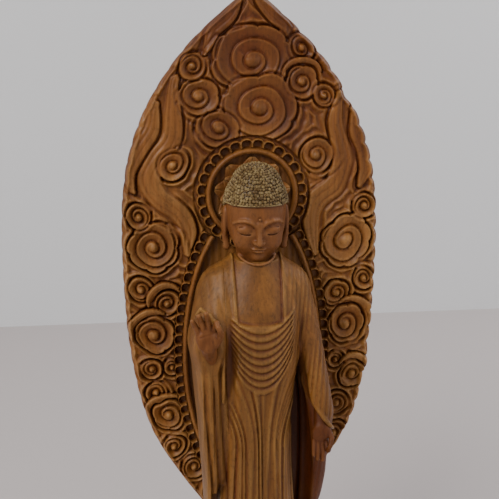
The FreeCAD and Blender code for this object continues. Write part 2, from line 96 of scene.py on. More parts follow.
def relief_wear(height, reach, contrast):
    """Wear of a carved face: crests over their surroundings are rubbed, dips hold dirt."""
    soft = averaged(averaged(height, reach, (0, 1)), reach, (0, 1))
    return 0.5 + contrast * (height - soft)


def grid_quads(rows, columns, wrap=False):
    """Quads of a grid of points in row order. wrap joins the last column to the first."""
    r, c = np.meshgrid(np.arange(rows - 1), np.arange(columns if wrap else columns - 1), indexing="ij")
    after = (c + 1) % columns
    a, b = r * columns + c, r * columns + after
    return np.stack([a, b, b + columns, a + columns], axis=-1).reshape(-1, 4)


def grid_rim(rows, columns):
    """The points round a grid's edge, in order."""
    return np.concatenate([
        np.arange(columns),
        np.arange(1, rows) * columns + columns - 1,
        (rows - 1) * columns + np.arange(columns - 2, -1, -1),
        np.arange(rows - 2, 0, -1) * columns,
    ])


def closed_sheet(front, back, front_wear, back_wear):
    """Points, quads and wear of two grids, one behind the other, that are joined all round their edges."""
    rows, columns = front.shape[:2]
    count = rows * columns
    quads = grid_quads(rows, columns)
    rim = grid_rim(rows, columns)
    after = np.roll(rim, -1)
    side = np.stack([after, rim, rim + count, after + count], axis=-1)
    points = np.concatenate([front.reshape(-1, 3), back.reshape(-1, 3)])
    faces = np.concatenate([quads, quads[:, ::-1] + count, side])
    return points, faces, np.concatenate([front_wear.ravel(), back_wear.ravel()])


def joined(parts):
    """Several (points, quads, wear) as one, in the order in which add_mesh() takes them."""
    points, quads, wears, count = [], [], [], 0
    for p, q, w in parts:
        p = np.asarray(p, float).reshape(-1, 3)
        points.append(p)
        quads.append(np.asarray(q).reshape(-1, 4) + count)
        wears.append(np.ravel(w))
        count += len(p)
    return np.concatenate(points), np.concatenate(quads), (), np.concatenate(wears)


def turned_about_z(points, angle):
    """Points turned anticlockwise about the vertical axis."""
    c, s = math.cos(angle), math.sin(angle)
    x, y, z = np.asarray(points, float).T
    return np.stack([c * x - s * y, s * x + c * y, z], axis=-1)


# ------------------------------------------------------------------ signed distances


def space(low, high, step):
    """Open coordinate grids over a box."""
    axes = [np.arange(a, b + step, step, dtype=np.float32) for a, b in zip(low, high)]
    return np.meshgrid(*axes, indexing="ij", sparse=True)


def ellipsoid(p, centre, radii):
    """Distance to an ellipsoid, close to true near its surface."""
    dx, dy, dz = [(v - c) / r for v, c, r in zip(p, centre, radii)]
    k0 = np.sqrt(dx * dx + dy * dy + dz * dz)
    k1 = np.sqrt((dx / radii[0]) ** 2 + (dy / radii[1]) ** 2 + (dz / radii[2]) ** 2)
    return k0 * (k0 - 1) / np.maximum(k1, 1e-5)


def rod(p, a, b, ra, rb=None):
    """A round rod between two points, whose radius goes from ra to rb."""
    rb = ra if rb is None else rb
    ab = [q - o for o, q in zip(a, b)]
    length2 = sum(v * v for v in ab) + 1e-9
    pa = [v - o for v, o in zip(p, a)]
    t = np.clip((pa[0] * ab[0] + pa[1] * ab[1] + pa[2] * ab[2]) / length2, 0, 1)
    dx, dy, dz = [v - t * w for v, w in zip(pa, ab)]
    return np.sqrt(dx * dx + dy * dy + dz * dz) - (ra + (rb - ra) * t)


def string(p, points, radii):
    """Rods end to end. radii is one number or one for each point."""
    if not hasattr(radii, "__len__"):
        radii = [radii] * len(points)
    found = None
    for a, b, ra, rb in zip(points, points[1:], radii, radii[1:]):
        d = rod(p, a, b, ra, rb)
        found = d if found is None else np.minimum(found, d)
    return found


def column(p, table, exponent=2.0):
    """An upright body. table rows are height, centre x, half width, front y, back y."""
    rows = np.array(table, float)
    cx, a, front, back = [soft_interp(p[2], rows[:, 0], values).astype(np.float32) for values in rows.T[1:]]
    cy, b = (front + back) / 2, (back - front) / 2
    q = (np.abs((p[0] - cx) / a) ** exponent + np.abs((p[1] - cy) / b) ** exponent) ** (1 / exponent)
    d = (q - 1) * np.minimum(a, b)
    return np.maximum(d, np.maximum(rows[0, 0] - p[2], p[2] - rows[-1, 0]))


def soft_interp(z, heights, values, reach=1.5):
    """Interpolation without corners: linear, then averaged over twice the reach to either side."""
    total = 0
    for shift, weight in ((-2, 1), (-1, 2), (0, 3), (1, 2), (2, 1)):
        total = total + weight * np.interp(z + shift * reach, heights, values)
    return total / 9


def blend(a, b, k):
    """The smooth union of two distances."""
    h = np.clip(0.5 + 0.5 * (b - a) / k, 0, 1)
    return b + (a - b) * h - k * h * (1 - h)


def carve(a, tool, k):
    """a without tool, with an eased edge."""
    return -blend(-a, tool, k)


def step_up(v, low, high):
    """0 up to low, 1 from high on, and an eased step between them."""
    t = np.clip((v - low) / (high - low), 0, 1)
    return t * t * (3 - 2 * t)


def bump_at(v, middle, half):
    """1 at the middle, 0 from half away on."""
    return step_up(half - np.abs(v - middle), 0, half)


BAND = 6  # cells on either side of a surface in which its distance is kept
FLAT_MESH = 0.02  # adaptivity that merges the cells of large flat faces
CLEAR = 0.02  # gap between two faces that rest on each other


def solid(name, distance, low, step, adaptivity=0.0, flats=None, contrast=1.0, painted_shade=None, uncut=None):
    """The surface where the distance is zero, as a mesh object.

    flats holds the lowest and highest corner of a box whose faces cut the piece flat. stain is painted shade:
    it is taken from the wear, to darken the colour where shade falls. uncut is the distance before cuts that
    carry no wear.
    """
    limit = BAND * step
    d = np.clip(distance, -limit, limit).astype(np.float32)
    if flats is not None:
        for axis, (near, far) in enumerate(zip(*flats)):
            place = low[axis] + step * np.arange(d.shape[axis])
            outside = np.where((place < near - step) | (place > far + step))[0]
            index = [slice(None)] * 3
            index[axis] = outside
            d[tuple(index)] = limit
    d[0], d[-1], d[:, 0], d[:, -1], d[:, :, 0], d[:, :, -1] = [limit] * 6
    volume = openvdb.FloatGrid(limit)
    volume.copyFromArray(np.ascontiguousarray(d))
    cells, triangles, quads = volume.convertToPolygons(isovalue=0.0, adaptivity=adaptivity)
    cells = np.asarray(cells, float)
    whole = np.clip(distance if uncut is None else uncut, -limit, limit).astype(np.float32)
    bend = averaged(averaged(whole, 2, (0, 1, 2)) - whole, 1, (0, 1, 2))
    nearest = tuple(np.clip(np.rint(cells).astype(int), 0, np.array(d.shape) - 1).T)
    wear = 0.5 + contrast * bend[nearest] / step
    # painted shade lowers the wear, which darkens the colour where shade falls
    if painted_shade is not None:
        wear = wear - np.broadcast_to(painted_shade, d.shape)[nearest]
    points = cells * step + np.asarray(low, float)
    if flats is not None:
        points = np.clip(points, flats[0], flats[1])
    return add_mesh(name, points, quads[:, ::-1], triangles[:, ::-1] if len(triangles) else (), wear)


# ------------------------------------------------------------------ materials


def wood(name, hollow, ground, crest, rough=0.42, grain=1.0, worn=True):
    """Old oiled wood: the colour of its hollows, of its plain ground and of its rubbed crests.

    The grain runs up and down. worn is False on a plain piece that carries no wear values.
    """
    material = bpy.data.materials.new(name)
    material.use_nodes = True
    tree = material.node_tree
    tree.nodes.clear()

    def node(kind, **values):
        item = tree.nodes.new(kind)
        for key, value in values.items():
            if key in item.inputs:
                item.inputs[key].default_value = value
            else:
                setattr(item, key, value)
        return item

    def link(a, b):
        tree.links.new(a, b)

    def ramp(fac, stops):
        item = node("ShaderNodeValToRGB")
        elements = item.color_ramp.elements
        while len(elements) < len(stops):
            elements.new(0.5)
        for element, (position, value) in zip(elements, stops):
            element.position = position
            element.color = (*value, 1) if hasattr(value, "__len__") else (value, value, value, 1)
        link(fac, item.inputs["Fac"])
        return item.outputs["Color"]

    def multiply(fac, a, b):
        item = node("ShaderNodeMix", data_type="RGBA", blend_type="MULTIPLY")
        item.inputs["Factor"].default_value = fac
        link(a, item.inputs["A"])
        link(b, item.inputs["B"])
        return item.outputs["Result"]

    def noise(scale, stretch=(1, 1, 1), detail=2.0, roughness=0.5, distortion=0.0):
        mapping = node("ShaderNodeMapping", Scale=stretch)
        link(coordinates.outputs["Object"], mapping.inputs["Vector"])
        item = node("ShaderNodeTexNoise", Scale=scale, Detail=detail)
        item.inputs["Roughness"].default_value = roughness
        item.inputs["Distortion"].default_value = distortion
        link(mapping.outputs["Vector"], item.inputs["Vector"])
        return item.outputs["Fac"]

    coordinates = node("ShaderNodeTexCoord")
    fibres = noise(1.0, (900, 900, 60), 5.0, 0.6)
    rings = noise(1.0, (150, 240, 14), 2.0, 0.45, 0.8)
    patches = noise(42.0, (1, 1, 0.6), 3.0, 0.55)
    specks = noise(850.0, (1, 1, 0.7), 2.0, 0.7)
    marks = noise(380.0, (1, 1, 0.8), 2.0, 0.5)

    tone = node("ShaderNodeMath", operation="ADD")
    if worn:
        # the wear attribute, which painted shade also lowers on parts of the figure
        wear = node("ShaderNodeAttribute", attribute_name="wear", attribute_type="GEOMETRY").outputs["Fac"]
        link(wear, tone.inputs[0])
    else:
        tone.inputs[0].default_value = 0.5
    shift = node("ShaderNodeMath", operation="MULTIPLY_ADD")
    link(patches, shift.inputs[0])
    shift.inputs[1].default_value = 0.9
    shift.inputs[2].default_value = -0.45
    link(shift.outputs["Value"], tone.inputs[1])
    base = ramp(tone.outputs["Value"], [(0.08, hollow), (0.50, ground), (0.98, crest)])
    base = multiply(0.50 * grain, base, ramp(rings, [(0.38, 0.62), (0.62, 1.15)]))
    base = multiply(0.55 * grain, base, ramp(fibres, [(0.34, 0.66), (0.66, 1.16)]))
    base = multiply(0.40, base, ramp(specks, [(0.34, 0.40), (0.46, 1.0)]))
    # ambient occlusion darkens the colour in recesses and creases: painted shade
    near = node("ShaderNodeAmbientOcclusion", samples=8)
    near.inputs["Distance"].default_value = 0.007
    base = multiply(0.75, base, ramp(near.outputs["AO"], [(0.12, 0.50), (0.70, 1.0)]))

    shader = node("ShaderNodeBsdfPrincipled")
    link(base, shader.inputs["Base Color"])
    link(ramp(patches, [(0.3, rough + 0.12), (0.7, rough - 0.06)]), shader.inputs["Roughness"])
    shader.inputs["Specular IOR Level"].default_value = 0.26
    relief = node("ShaderNodeMath", operation="ADD")
    link(fibres, relief.inputs[0])
    link(marks, relief.inputs[1])
    bump = node("ShaderNodeBump")
    bump.inputs["Strength"].default_value = 0.45
    bump.inputs["Distance"].default_value = 0.00025
    link(relief.outputs["Value"], bump.inputs["Height"])
    link(bump.outputs["Normal"], shader.inputs["Normal"])
    output = node("ShaderNodeOutputMaterial")
    link(shader.outputs["BSDF"], output.inputs["Surface"])
    return material


def srgb(r, g, b):
    """A colour given as it looks on a screen, 0 to 255, as Blender's linear values."""
    out = []
    for v in (r, g, b):
        v /= 255
        out.append(v / 12.92 if v <= 0.04045 else ((v + 0.055) / 1.055) ** 2.4)
    return tuple(out)


ROBE = wood("robe", srgb(92, 44, 14), srgb(122, 78, 32), srgb(146, 104, 51), rough=0.48)
SKIN = wood("skin", srgb(84, 40, 12), srgb(116, 68, 30), srgb(136, 88, 46), grain=0.6, rough=0.46)
HAIR = wood("hair", srgb(52, 34, 14), srgb(104, 78, 42), srgb(150, 128, 84), rough=0.36, grain=0.4)
HALO = wood("halo", srgb(94, 46, 14), srgb(132, 82, 36), srgb(160, 112, 60))
THRONE = wood("throne", srgb(64, 28, 6), srgb(118, 72, 26), srgb(152, 106, 54))
PEGS = wood("pegs", srgb(112, 78, 40), srgb(156, 116, 68), srgb(176, 138, 90), worn=False)
STEM = wood("stem", srgb(64, 28, 6), srgb(112, 67, 23), srgb(140, 96, 48), worn=False)


def finish_piece(item, material, slot, body, *nodes):
    """Gives a piece its material, the body that it rides on and the CAD nodes that it replaces. slot is not
    used.
    """
    item.data.materials.clear()
    item.data.materials.append(material)
    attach(item, body)
    if nodes:
        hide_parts(*nodes)
    return item


# ------------------------------------------------------------------ the halo board

FACE = 18.0  # y of the board's face; relief stands out from it towards -Y
BACK = 24.4  # y of the board's back
SUNK = 1.2  # how far the edges of the nimbus bands go into the board
RING_Z = 227.3  # height of the head nimbus's centre
RING_INNER, RING_OUTER = 16.8, 24.4  # its inner radius, and the radius inside which the board is plain
OVAL_Z = 157.0  # height of the body nimbus's centre
OVAL_WIDE, OVAL_HIGH = 33.6, 70.0  # its half width and half height

# Height and half width of the board's edge
BOARD_EDGE = [
    (66, 9.4), (75, 16.2), (85, 22.3), (95, 29.2), (104, 34.8), (112, 39.6), (122, 44.4), (132, 47.6),
    (142, 49.9), (155, 52.0), (170, 53.6), (190, 54.3), (208, 54.4), (225, 53.6), (240, 51.3), (252, 47.6),
    (262, 43.3), (271, 38.0), (280, 31.6), (288, 24.8), (295, 17.4), (301, 10.4), (305, 5.4), (308, 0.4),
]

# Cloud curls: centre x, centre z, radius, stretch along x, start angle in degrees, hand, turns, lobes.
# A hand of 1 winds anticlockwise and -1 clockwise. A curl with 0 lobes has a plain round edge.
CURLS = [
    (-0.5, 281.5, 13.4, 1.20, 215, -1, 2, 7),
    (3.0, 262.5, 13.2, 1.15, 190, -1, 2, 6),
    (-24.0, 278.0, 5.4, 1.0, 60, 1, 1, 0),
    (19.0, 285.5, 5.4, 1.0, 200, -1, 1, 0),
    (20.5, 272.3, 6.6, 1.0, 150, -1, 1, 5),
    (30.0, 268.0, 4.6, 1.0, 60, -1, 1, 0),
    (-21.0, 266.5, 7.2, 1.15, 160, -1, 1, 5),
    (-14.5, 254.3, 7.6, 1.15, 170, -1, 1, 5),
    (26.8, 243.4, 7.2, 0.95, 100, -1, 1, 0),
    (-31.8, 240.2, 6.6, 0.95, 80, 1, 1, 0),
    (-47.3, 219.0, 5.4, 0.9, 330, -1, 1, 0),
    (-40.8, 206.3, 10.4, 1.0, 60, 1, 2, 7),
    (-47.2, 187.8, 5.4, 0.95, 60, -1, 1, 0),
    (-36.5, 182.0, 5.4, 1.0, 200, 1, 1, 0),
    (-41.2, 168.0, 8.2, 1.0, 110, 1, 1, 6),
    (-44.0, 152.0, 4.6, 1.0, 200, -1, 1, 0),
    (-35.4, 153.0, 3.6, 1.0, 120, 1, 1, 0),
    (-41.6, 141.3, 4.8, 1.0, 60, 1, 1, 0),
    (-36.4, 130.5, 7.2, 1.0, 20, -1, 1, 5),
    (-35.0, 115.3, 5.0, 1.0, 120, 1, 1, 0),
    (47.2, 221.3, 5.2, 0.95, 150, 1, 1, 0),
    (40.6, 206.8, 11.4, 0.92, 60, -1, 1, 8),
    (48.3, 189.4, 5.0, 0.9, 120, 1, 1, 0),
    (36.4, 184.2, 5.6, 1.0, 60, -1, 1, 5),
    (42.0, 169.4, 8.6, 0.92, 80, -1, 1, 6),
    (36.6, 153.3, 3.8, 1.0, 90, 1, 1, 0),
    (44.8, 145.5, 6.0, 0.95, 120, 1, 1, 5),
    (38.6, 132.4, 5.6, 1.0, 30, -1, 1, 0),
    (36.5, 117.5, 6.4, 1.0, 150, 1, 1, 5),
    (-25.6, 104.0, 5.6, 1.0, 150, 1, 1, 0),
    (26.5, 103.5, 5.8, 1.0, 30, -1, 1, 5),
    (-16.0, 90.0, 5.6, 1.0, 40, -1, 1, 0),
    (15.0, 89.5, 5.6, 1.0, 140, 1, 1, 5),
    (-1.0, 77.5, 6.6, 1.1, 90, 1, 1, 5),
]

# Tongues of cloud: points of the middle line, half width at the middle
TONGUES = [
    ([(-30.5, 274), (-31.8, 262), (-33.0, 252), (-38.5, 243), (-42.0, 235), (-38.5, 226.5), (-30.5, 219.5),
      (-26.8, 211), (-26.5, 203)], 4.0),
    ([(-38.0, 265), (-40.5, 256), (-45.0, 248), (-49.5, 238), (-48.5, 229)], 2.8),
    ([(36.8, 268), (34.4, 258), (36.4, 248), (38.6, 239), (35.4, 231), (28.4, 225.5), (24.8, 219),
      (26.0, 210), (27.5, 203)], 3.8),
    ([(42.0, 262), (43.0, 253), (47.0, 245), (48.6, 237), (46.4, 230)], 2.8),
    ([(-4, 305), (-9, 298), (-16, 291), (-19.5, 283)], 2.2),
    ([(2, 306), (8, 299), (13.5, 293), (10, 289)], 2.4),
]

# Hoods of cloud over a curl: centre x, centre z, radius, first and last angle in degrees, half width
HOODS = [
    (-36.5, 182.0, 7.8, 55, 190, 1.7),
    (-41.2, 168.0, 10.2, 70, 195, 1.8),
    (42.0, 169.4, 11.4, -20, 105, 1.7),
    (44.8, 145.5, 8.4, 15, 135, 1.5),
    (20.5, 272.3, 8.8, 35, 160, 1.3),
    (-36.4, 130.5, 9.4, 60, 190, 1.4),
]


def edge_width(z):
    """Half width of the board at a height. The last millimetres run straight to the point."""
    heights, widths = zip(*BOARD_EDGE)
    return np.where(z > 303, np.interp(z, heights, widths), soft_interp(z, heights, widths, 1.2))


def smooth_line(points, count=12):
    """Points along a curve through the given ones."""
    pts = [np.array(p, float) for p in points]
    pts = [2 * pts[0] - pts[1]] + pts + [2 * pts[-1] - pts[-2]]
    out = []
    for a, b, c, d in zip(pts, pts[1:], pts[2:], pts[3:]):
        for t in np.linspace(0, 1, count, endpoint=False):
            out.append(0.5 * ((2 * b) + (c - a) * t + (2 * a - 5 * b + 4 * c - d) * t * t
                              + (3 * b - a - 3 * c + d) * t ** 3))
    out.append(pts[-2])
    return np.array(out)


def near_line(x, z, line):
    """Distance from each point to a line, the side it is on, and how far along it is, 0 to 1."""
    best = np.full(x.shape, 1e9)
    along = np.zeros(x.shape)
    side = np.zeros(x.shape)
    count = len(line) - 1
    for i, (a, b) in enumerate(zip(line, line[1:])):
        dx, dz = b - a
        length2 = dx * dx + dz * dz + 1e-9
        t = np.clip(((x - a[0]) * dx + (z - a[1]) * dz) / length2, 0, 1)
        ex, ez = x - a[0] - t * dx, z - a[1] - t * dz
        d = ex * ex + ez * ez
        closer = d < best
        best = np.where(closer, d, best)
        along = np.where(closer, (i + t) / count, along)
        side = np.where(closer, np.sign(ex * dz - ez * dx), side)
    return np.sqrt(best), side, along


def bell(v, width):
    """A smooth crest, 1 high at v = 0."""
    return np.exp(-((v / width) ** 2))


def groove(v, width):
    """A narrower bell, for a round-bottomed cut that is 1 deep at v = 0."""
    return np.exp(-((v / width) ** 2) * 2.2)


def curl_relief(r, angle, radius, outer, turns):
    """Height of one cloud curl. angle goes from 0 to 1 along a turn, and outer is the curl's lobed edge."""
    ball = 0.19 if turns > 1 else 0.25
    pitch = 0.36 if turns > 1 else 0.46
    height = 0.15 + 0.75 * (r / radius) ** 2 + 1.9 * bell(r, radius * ball)
    height += 0.40 * bell(r - outer + 0.7, 0.6)
    moat = np.clip((angle - 0.30) / 0.35, 0, 1)
    height = height - 1.25 * moat * bell(r - radius * ball * 1.15, 0.50)
    for turn in range(turns + 1):
        rim = radius * (ball * 1.15 + pitch * (angle + turn))
        fade = np.clip(1.2 - angle * 1.2, 0, 1) if turn == turns else 1.0
        gap = r - rim
        cut = np.where(gap < 0, bell(gap, 0.40), np.exp(-gap / (0.06 * radius + 0.35)))
        lip = 0.35 * bell(gap + 0.8, 0.50)
        height = height - (1.35 * cut - lip) * fade * step_up(outer - rim, 0.3, 1.2)
    return height


def ribbon(height, x, z, line, width, body, hand):
    """height with a rounded ribbon laid along a line, cut deeper on the side that hand, 1 or -1, names."""
    d, side, along = near_line(x, z, line)
    w = width * (0.25 + 0.75 * np.sin(np.clip(along, 0.02, 0.98) * math.pi) ** 0.6)
    q = d / w
    side = side * hand
    top = body + 0.75 * np.sqrt(np.clip(1 - q * q, 0, 1)) + 0.35 * side * q
    top -= 0.35 * groove((side * q + 0.35) * w, 0.7) + 0.25 * groove((side * q - 0.30) * w, 0.6)
    inside = step_up(1.06 - q, 0, np.where(side > 0, 0.12, 0.45))
    height = height * (1 - inside) + top * inside
    return height - (0.50 + 0.40 * side) * groove((q - 1.16) * w, 0.65)


def tail(height, x, z, cx, cz, radius, stretch, start, hand):
    """height with the trailing end of a curl, which unwinds from its rim into the ground."""
    t = np.linspace(0, 1, 9)
    angle = hand * (math.radians(start) - 1.9 * t)
    reach = radius * (1.02 + 0.75 * t ** 1.3)
    line = np.stack([cx + stretch * reach * np.cos(angle), cz + reach * np.sin(angle)], axis=-1)
    d, side, along = near_line(x, z, line)
    fade = (1 - along) ** 0.7 * step_up(1 - along, 0.02, 0.12)
    out = d * side * hand
    crest = 0.9 * bell(out - 0.5, 1.1)
    cut = 0.8 * bell(out + 1.1, 0.55)
    return height + fade * (crest - cut)


def board_relief(x, z):
    """Height of the carving above the board's face, in millimetres."""
    # carved by hand: nothing is quite round
    x, z = (x + 0.6 * np.sin(0.19 * z + 0.9) + 0.20 * np.sin(0.40 * z + 0.2 * x),
            z + 0.6 * np.sin(0.18 * x + 2.1) + 0.20 * np.sin(0.38 * x - 0.2 * z))
    nearest = np.full(x.shape, 1e9)
    for cx, cz, radius, stretch, *_ in CURLS:
        nearest = np.minimum(nearest, np.hypot((x - cx) / stretch, z - cz) - radius)
    for points, width in TONGUES:
        d, _, _ = near_line(x, z, smooth_line(points, 6))
        nearest = np.minimum(nearest, d - width)
    sway = 0.5 * np.sin(x * 0.9 + 0.3 * z) * np.sin(z * 0.5)
    echo = 0.5 + 0.5 * np.cos((nearest + sway - 1.5) * TAU / 3.3)
    height = -0.55 + 1.15 * echo ** 1.3 * step_up(nearest, 0.2, 1.4)

    for points, width in TONGUES:
        height = ribbon(height, x, z, smooth_line(points), 1.25 * width, 0.35, 1 if points[0][0] > 0 else -1)
    for cx, cz, radius, stretch, start, hand, *_ in CURLS:
        height = tail(height, x, z, cx, cz, radius, stretch, start, hand)

    for cx, cz, radius, stretch, start, hand, turns, lobes in sorted(CURLS, key=lambda c: -c[2]):
        dx, dz = (x - cx) / stretch, z - cz
        r = np.hypot(dx, dz)
        turned = np.arctan2(dz, dx)
        angle = np.mod(hand * turned - math.radians(start), TAU) / TAU
        outer = np.full(r.shape, float(radius))
        if lobes:
            outer *= 0.94 + 0.11 * np.abs(np.sin(turned * lobes / 2 + start)) ** 0.6
        curl = curl_relief(r, angle, radius, outer, turns)
        closed = 0.35 + 0.65 * step_up(np.minimum(angle, 1 - angle), 0.02, 0.22)
        inside = step_up(outer - r, -0.2, 0.35 + 0.9 * (1 - closed))
        height = height * (1 - inside) + curl * inside
        height -= 0.8 * closed * groove(r - outer - 0.35, 0.6)
        height += 0.35 * closed * groove(r - outer - 1.55, 0.8)

    for cx, cz, radius, first, last, width in HOODS:
        angles = np.radians(np.linspace(first, last, 14))
        line = np.stack([cx + radius * np.cos(angles), cz + radius * np.sin(angles)], axis=-1)
        height = ribbon(height, x, z, line, width, 0.9, 1)
    shallow = 1 - 0.30 * step_up(z, 225, 250)
    return np.clip(height, -1.5, 2.3) * shallow


def from_nimbus(x, z):
    """Distance from the outline of the two nimbus bands, below 0 inside it, where the board is plain."""
    ring = np.hypot(x, z - RING_Z) - RING_OUTER
    wide, high = OVAL_WIDE + 0.2, OVAL_HIGH + 0.2
    oval = (np.hypot(x / wide, (z - OVAL_Z) / high) - 1) * wide
    return np.minimum(ring, oval)


def halo_board():
    """The board: carved face, scalloped edge on the +X side, and a back with faint gouge marks."""
    rows, columns = 640, 300
    z = np.linspace(66.1, 307.9, rows)[:, None]
    s = np.linspace(-1, 1, columns)[None, :]
    half = edge_width(z)
    scallop = 0.9 * (1 - np.abs(np.sin(z * math.pi / 7.3))) ** 1.5
    scallop = scallop * step_up(z, 112, 130) * (1 - step_up(z, 296, 302))
    notch = 1.7 * bump_at(z, 267.0, 4.2)
    bulge = 1.3 * bump_at(z, 151, 9) + 1.0 * bump_at(z, 130, 26)
    wide = np.where(s > 0, half - scallop - notch + bulge, half - 0.35 * scallop)
    x = s * wide
    zz = np.broadcast_to(z, x.shape).copy()
    height = board_relief(x, zz)
    inside = step_up(-from_nimbus(x, zz), -0.1, 0.5)
    ground = -0.9 + 0.10 * np.sin(x * 2.1 + 0.4 * np.sin(zz * 0.13)) + 0.05 * np.sin(zz * 0.9 + x)
    height = height * (1 - inside) + ground * inside
    slope = np.gradient(half[:, 0], z[:, 0])
    from_edge = np.maximum((wide - np.abs(x)) / np.sqrt(1 + slope ** 2)[:, None], 0)
    height += 0.8 * groove(from_edge - 1.9, 0.9) * (1 - inside)
    round_off = 1 - np.sqrt(np.clip(1 - (1 - np.clip(from_edge / 2.4, 0, 1)) ** 2, 0, 1))
    height = np.clip(height, -1.6, 2.35) * step_up(from_edge, 0, 1.2) - 2.6 * round_off
    front = np.stack([x, FACE - height, zz], axis=-1)
    waves = 0.14 * np.sin(x * 0.8 + 0.5 * np.sin(zz * 0.2)) * np.sin(zz * 0.35)
    back = np.stack([x, BACK - 0.15 + waves - 1.6 * round_off, zz], axis=-1)
    wear = relief_wear(height, 3, 0.35) + 0.5 * (relief_wear(height, 8, 0.25) - 0.5)
    # the board is lighter over its lower part and darker towards its top
    wear = wear + 0.10 - 0.40 * step_up(zz, 205, 292)
    points, faces, wears = closed_sheet(front, back, wear, 0.42 + waves)
    return add_mesh("halo_board", points, faces, (), wears)


def band_profile(t, cell):
    """Height of a nimbus band: t is millimetres out from its inner edge, cell is 0 to 1 across a petal."""
    tube = 0.2 + 2.2 * np.sqrt(np.clip(1 - ((t - 1.25) / 1.25) ** 2, 0, 1))
    across = np.abs(2 * cell - 1)
    arch = 4.6 + 1.9 * np.sqrt(np.clip(1 - across ** 2.4, 0, 1))
    inside = step_up(arch - t, -0.10, 0.12)
    rim = 2.5 * bell(arch - 0.55 - t, 0.50)
    rib = 2.6 * bell(1 - across, 0.24) * step_up(t, 2.4, 3.0) * (1 - step_up(t, 5.2, 5.9))
    foot = 0.8 * bell(t - 2.5, 0.45)
    petal = -0.75 + inside * np.maximum(rim, foot) + rib
    return np.where(t < 2.5, tube, np.minimum(petal, 1.95))


def band_mesh(name, front, wear, ring):
    """A band of relief whose two edges go back into the board.

    A closed ring's columns run anticlockwise. An open band's run clockwise, and its two ends are filled.
    """
    steps, columns = front.shape[:2]
    inner, outer = front[0].copy(), front[-1].copy()
    inner[:, 1] = outer[:, 1] = FACE + SUNK
    points = np.concatenate([inner[None], front, outer[None]]).reshape(-1, 3)
    wear = np.concatenate([wear[:1], wear, wear[-1:]])
    quads = grid_quads(steps + 2, columns, wrap=ring)
    bottom = np.arange(columns if ring else columns - 1)
    after = (bottom + 1) % columns
    top = (steps + 1) * columns
    faces = np.concatenate([quads, np.stack([after, bottom, top + bottom, top + after], axis=-1)])
    if ring:
        return add_mesh(name, points, faces[:, ::-1], (), wear)
    ends = []
    for c in (0, columns - 1):
        line = np.arange(steps + 2) * columns + c
        for i in range((steps + 1) // 2):
            ends.append([line[i], line[i + 1], line[steps - i], line[steps + 1 - i]])
    return add_mesh(name, points, np.concatenate([faces, np.array(ends)]), (), wear)


def head_nimbus():
    """The round band behind the head."""
    cells, per_cell, steps, width = 28, 16, 44, 6.6
    columns = cells * per_cell
    theta = np.arange(columns)[None, :] * TAU / columns
    t = np.linspace(0, width, steps)[:, None]
    cell = np.mod(theta * cells / TAU, 1.0)
    height = band_profile(t + 0 * theta, cell + 0 * t)
    r = RING_INNER + t
    front = np.stack([r * np.cos(theta), FACE - height, RING_Z + r * np.sin(theta)], axis=-1)
    wear = relief_wear(np.concatenate([height, height, height], axis=1), 3, 0.32)[:, columns:2 * columns]
    return band_mesh("nimbus_head", front, wear, True)


def body_nimbus():
    """The oval band round the body, open where the round one crosses it."""
    steps, columns, width, cell_width = 44, 1200, 6.0, 4.75
    angle = np.linspace(0, TAU, 4000)
    px, pz = OVAL_WIDE * np.sin(angle), OVAL_Z + OVAL_HIGH * np.cos(angle)
    length = np.concatenate([[0], np.cumsum(np.hypot(np.diff(px), np.diff(pz)))])
    clear = np.hypot(px, pz - RING_Z) > RING_OUTER + 0.5
    first, last = length[np.argmax(clear)], length[len(clear) - 1 - np.argmax(clear[::-1])]
    along = np.linspace(first, last, columns)
    theta = np.interp(along, length, angle)[None, :]
    cells = round((last - first) / cell_width)
    cell = np.mod((along - first) / (last - first) * cells, 1.0)[None, :]
    t = np.linspace(0, width, steps)[:, None]
    height = band_profile(t + 0 * theta, cell + 0 * t)
    nx, nz = OVAL_HIGH * np.sin(theta), OVAL_WIDE * np.cos(theta)
    inward = (width - 0.2 - t) / np.hypot(nx, nz)
    x = OVAL_WIDE * np.sin(theta) - inward * nx
    z = OVAL_Z + OVAL_HIGH * np.cos(theta) - inward * nz
    front = np.stack([x, FACE - height, z], axis=-1)
    return band_mesh("nimbus_body", front, relief_wear(height, 3, 0.32), False)


def rosette():
    """An open lotus behind the head: two rings of pointed petals that rise towards their tips."""
    parts = []
    rows, columns = 24, 17
    u = np.linspace(-1, 1, columns)[None, :]
    v = np.linspace(0, 1, rows)[:, None]
    for outer, lift, shift in ((15.8, 2.2, 0.0), (13.4, 2.8, 0.5)):
        r = 3.0 + (outer - 3.0) * v
        half = 0.34 * outer * np.sin(np.clip(v, 0, 1) ** 0.85 * math.pi * 0.96) ** 0.8 + 0.05
        x = u * half
        rise = -0.6 + (lift + 0.5) * v ** 1.5 * (1 - 0.45 * np.abs(u) ** 2)
        rise = rise + 0.35 * bell(np.abs(u) - 0.82, 0.12) - 0.35 * bell(u, 0.10)
        wear = 0.15 + 0.6 * v ** 2 * (1 - 0.4 * np.abs(u)) + 0.35 * step_up(v, 0.85, 1.0) + 0 * u
        for k in range(9):
            a = TAU * (k + shift) / 9 + TAU / 4
            px = r * math.cos(a) - x * math.sin(a)
            pz = r * math.sin(a) + x * math.cos(a)
            top = np.stack([px, FACE - rise, RING_Z + pz], axis=-1)
            under = top.copy()
            under[..., 1] = FACE + 1.1
            points, faces, wears = closed_sheet(top, under, wear, 0 * wear)
            parts.append((points, faces[:, ::-1], wears))
    return add_mesh("rosette", *joined(parts))


def halo():
    finish_piece(halo_board(), HALO, "wood_halo", "halo", "halo_panel")
    finish_piece(head_nimbus(), HALO, "wood_halo", "halo", "nimbus_head_ring")
    finish_piece(body_nimbus(), HALO, "wood_halo", "halo", "nimbus_body_ring")
    finish_piece(rosette(), HALO, "wood_halo", "halo", "head_lotus")


# ------------------------------------------------------------------ the figure

TRUNK_X = -0.8  # the figure stands a little to its own right of the throne's middle

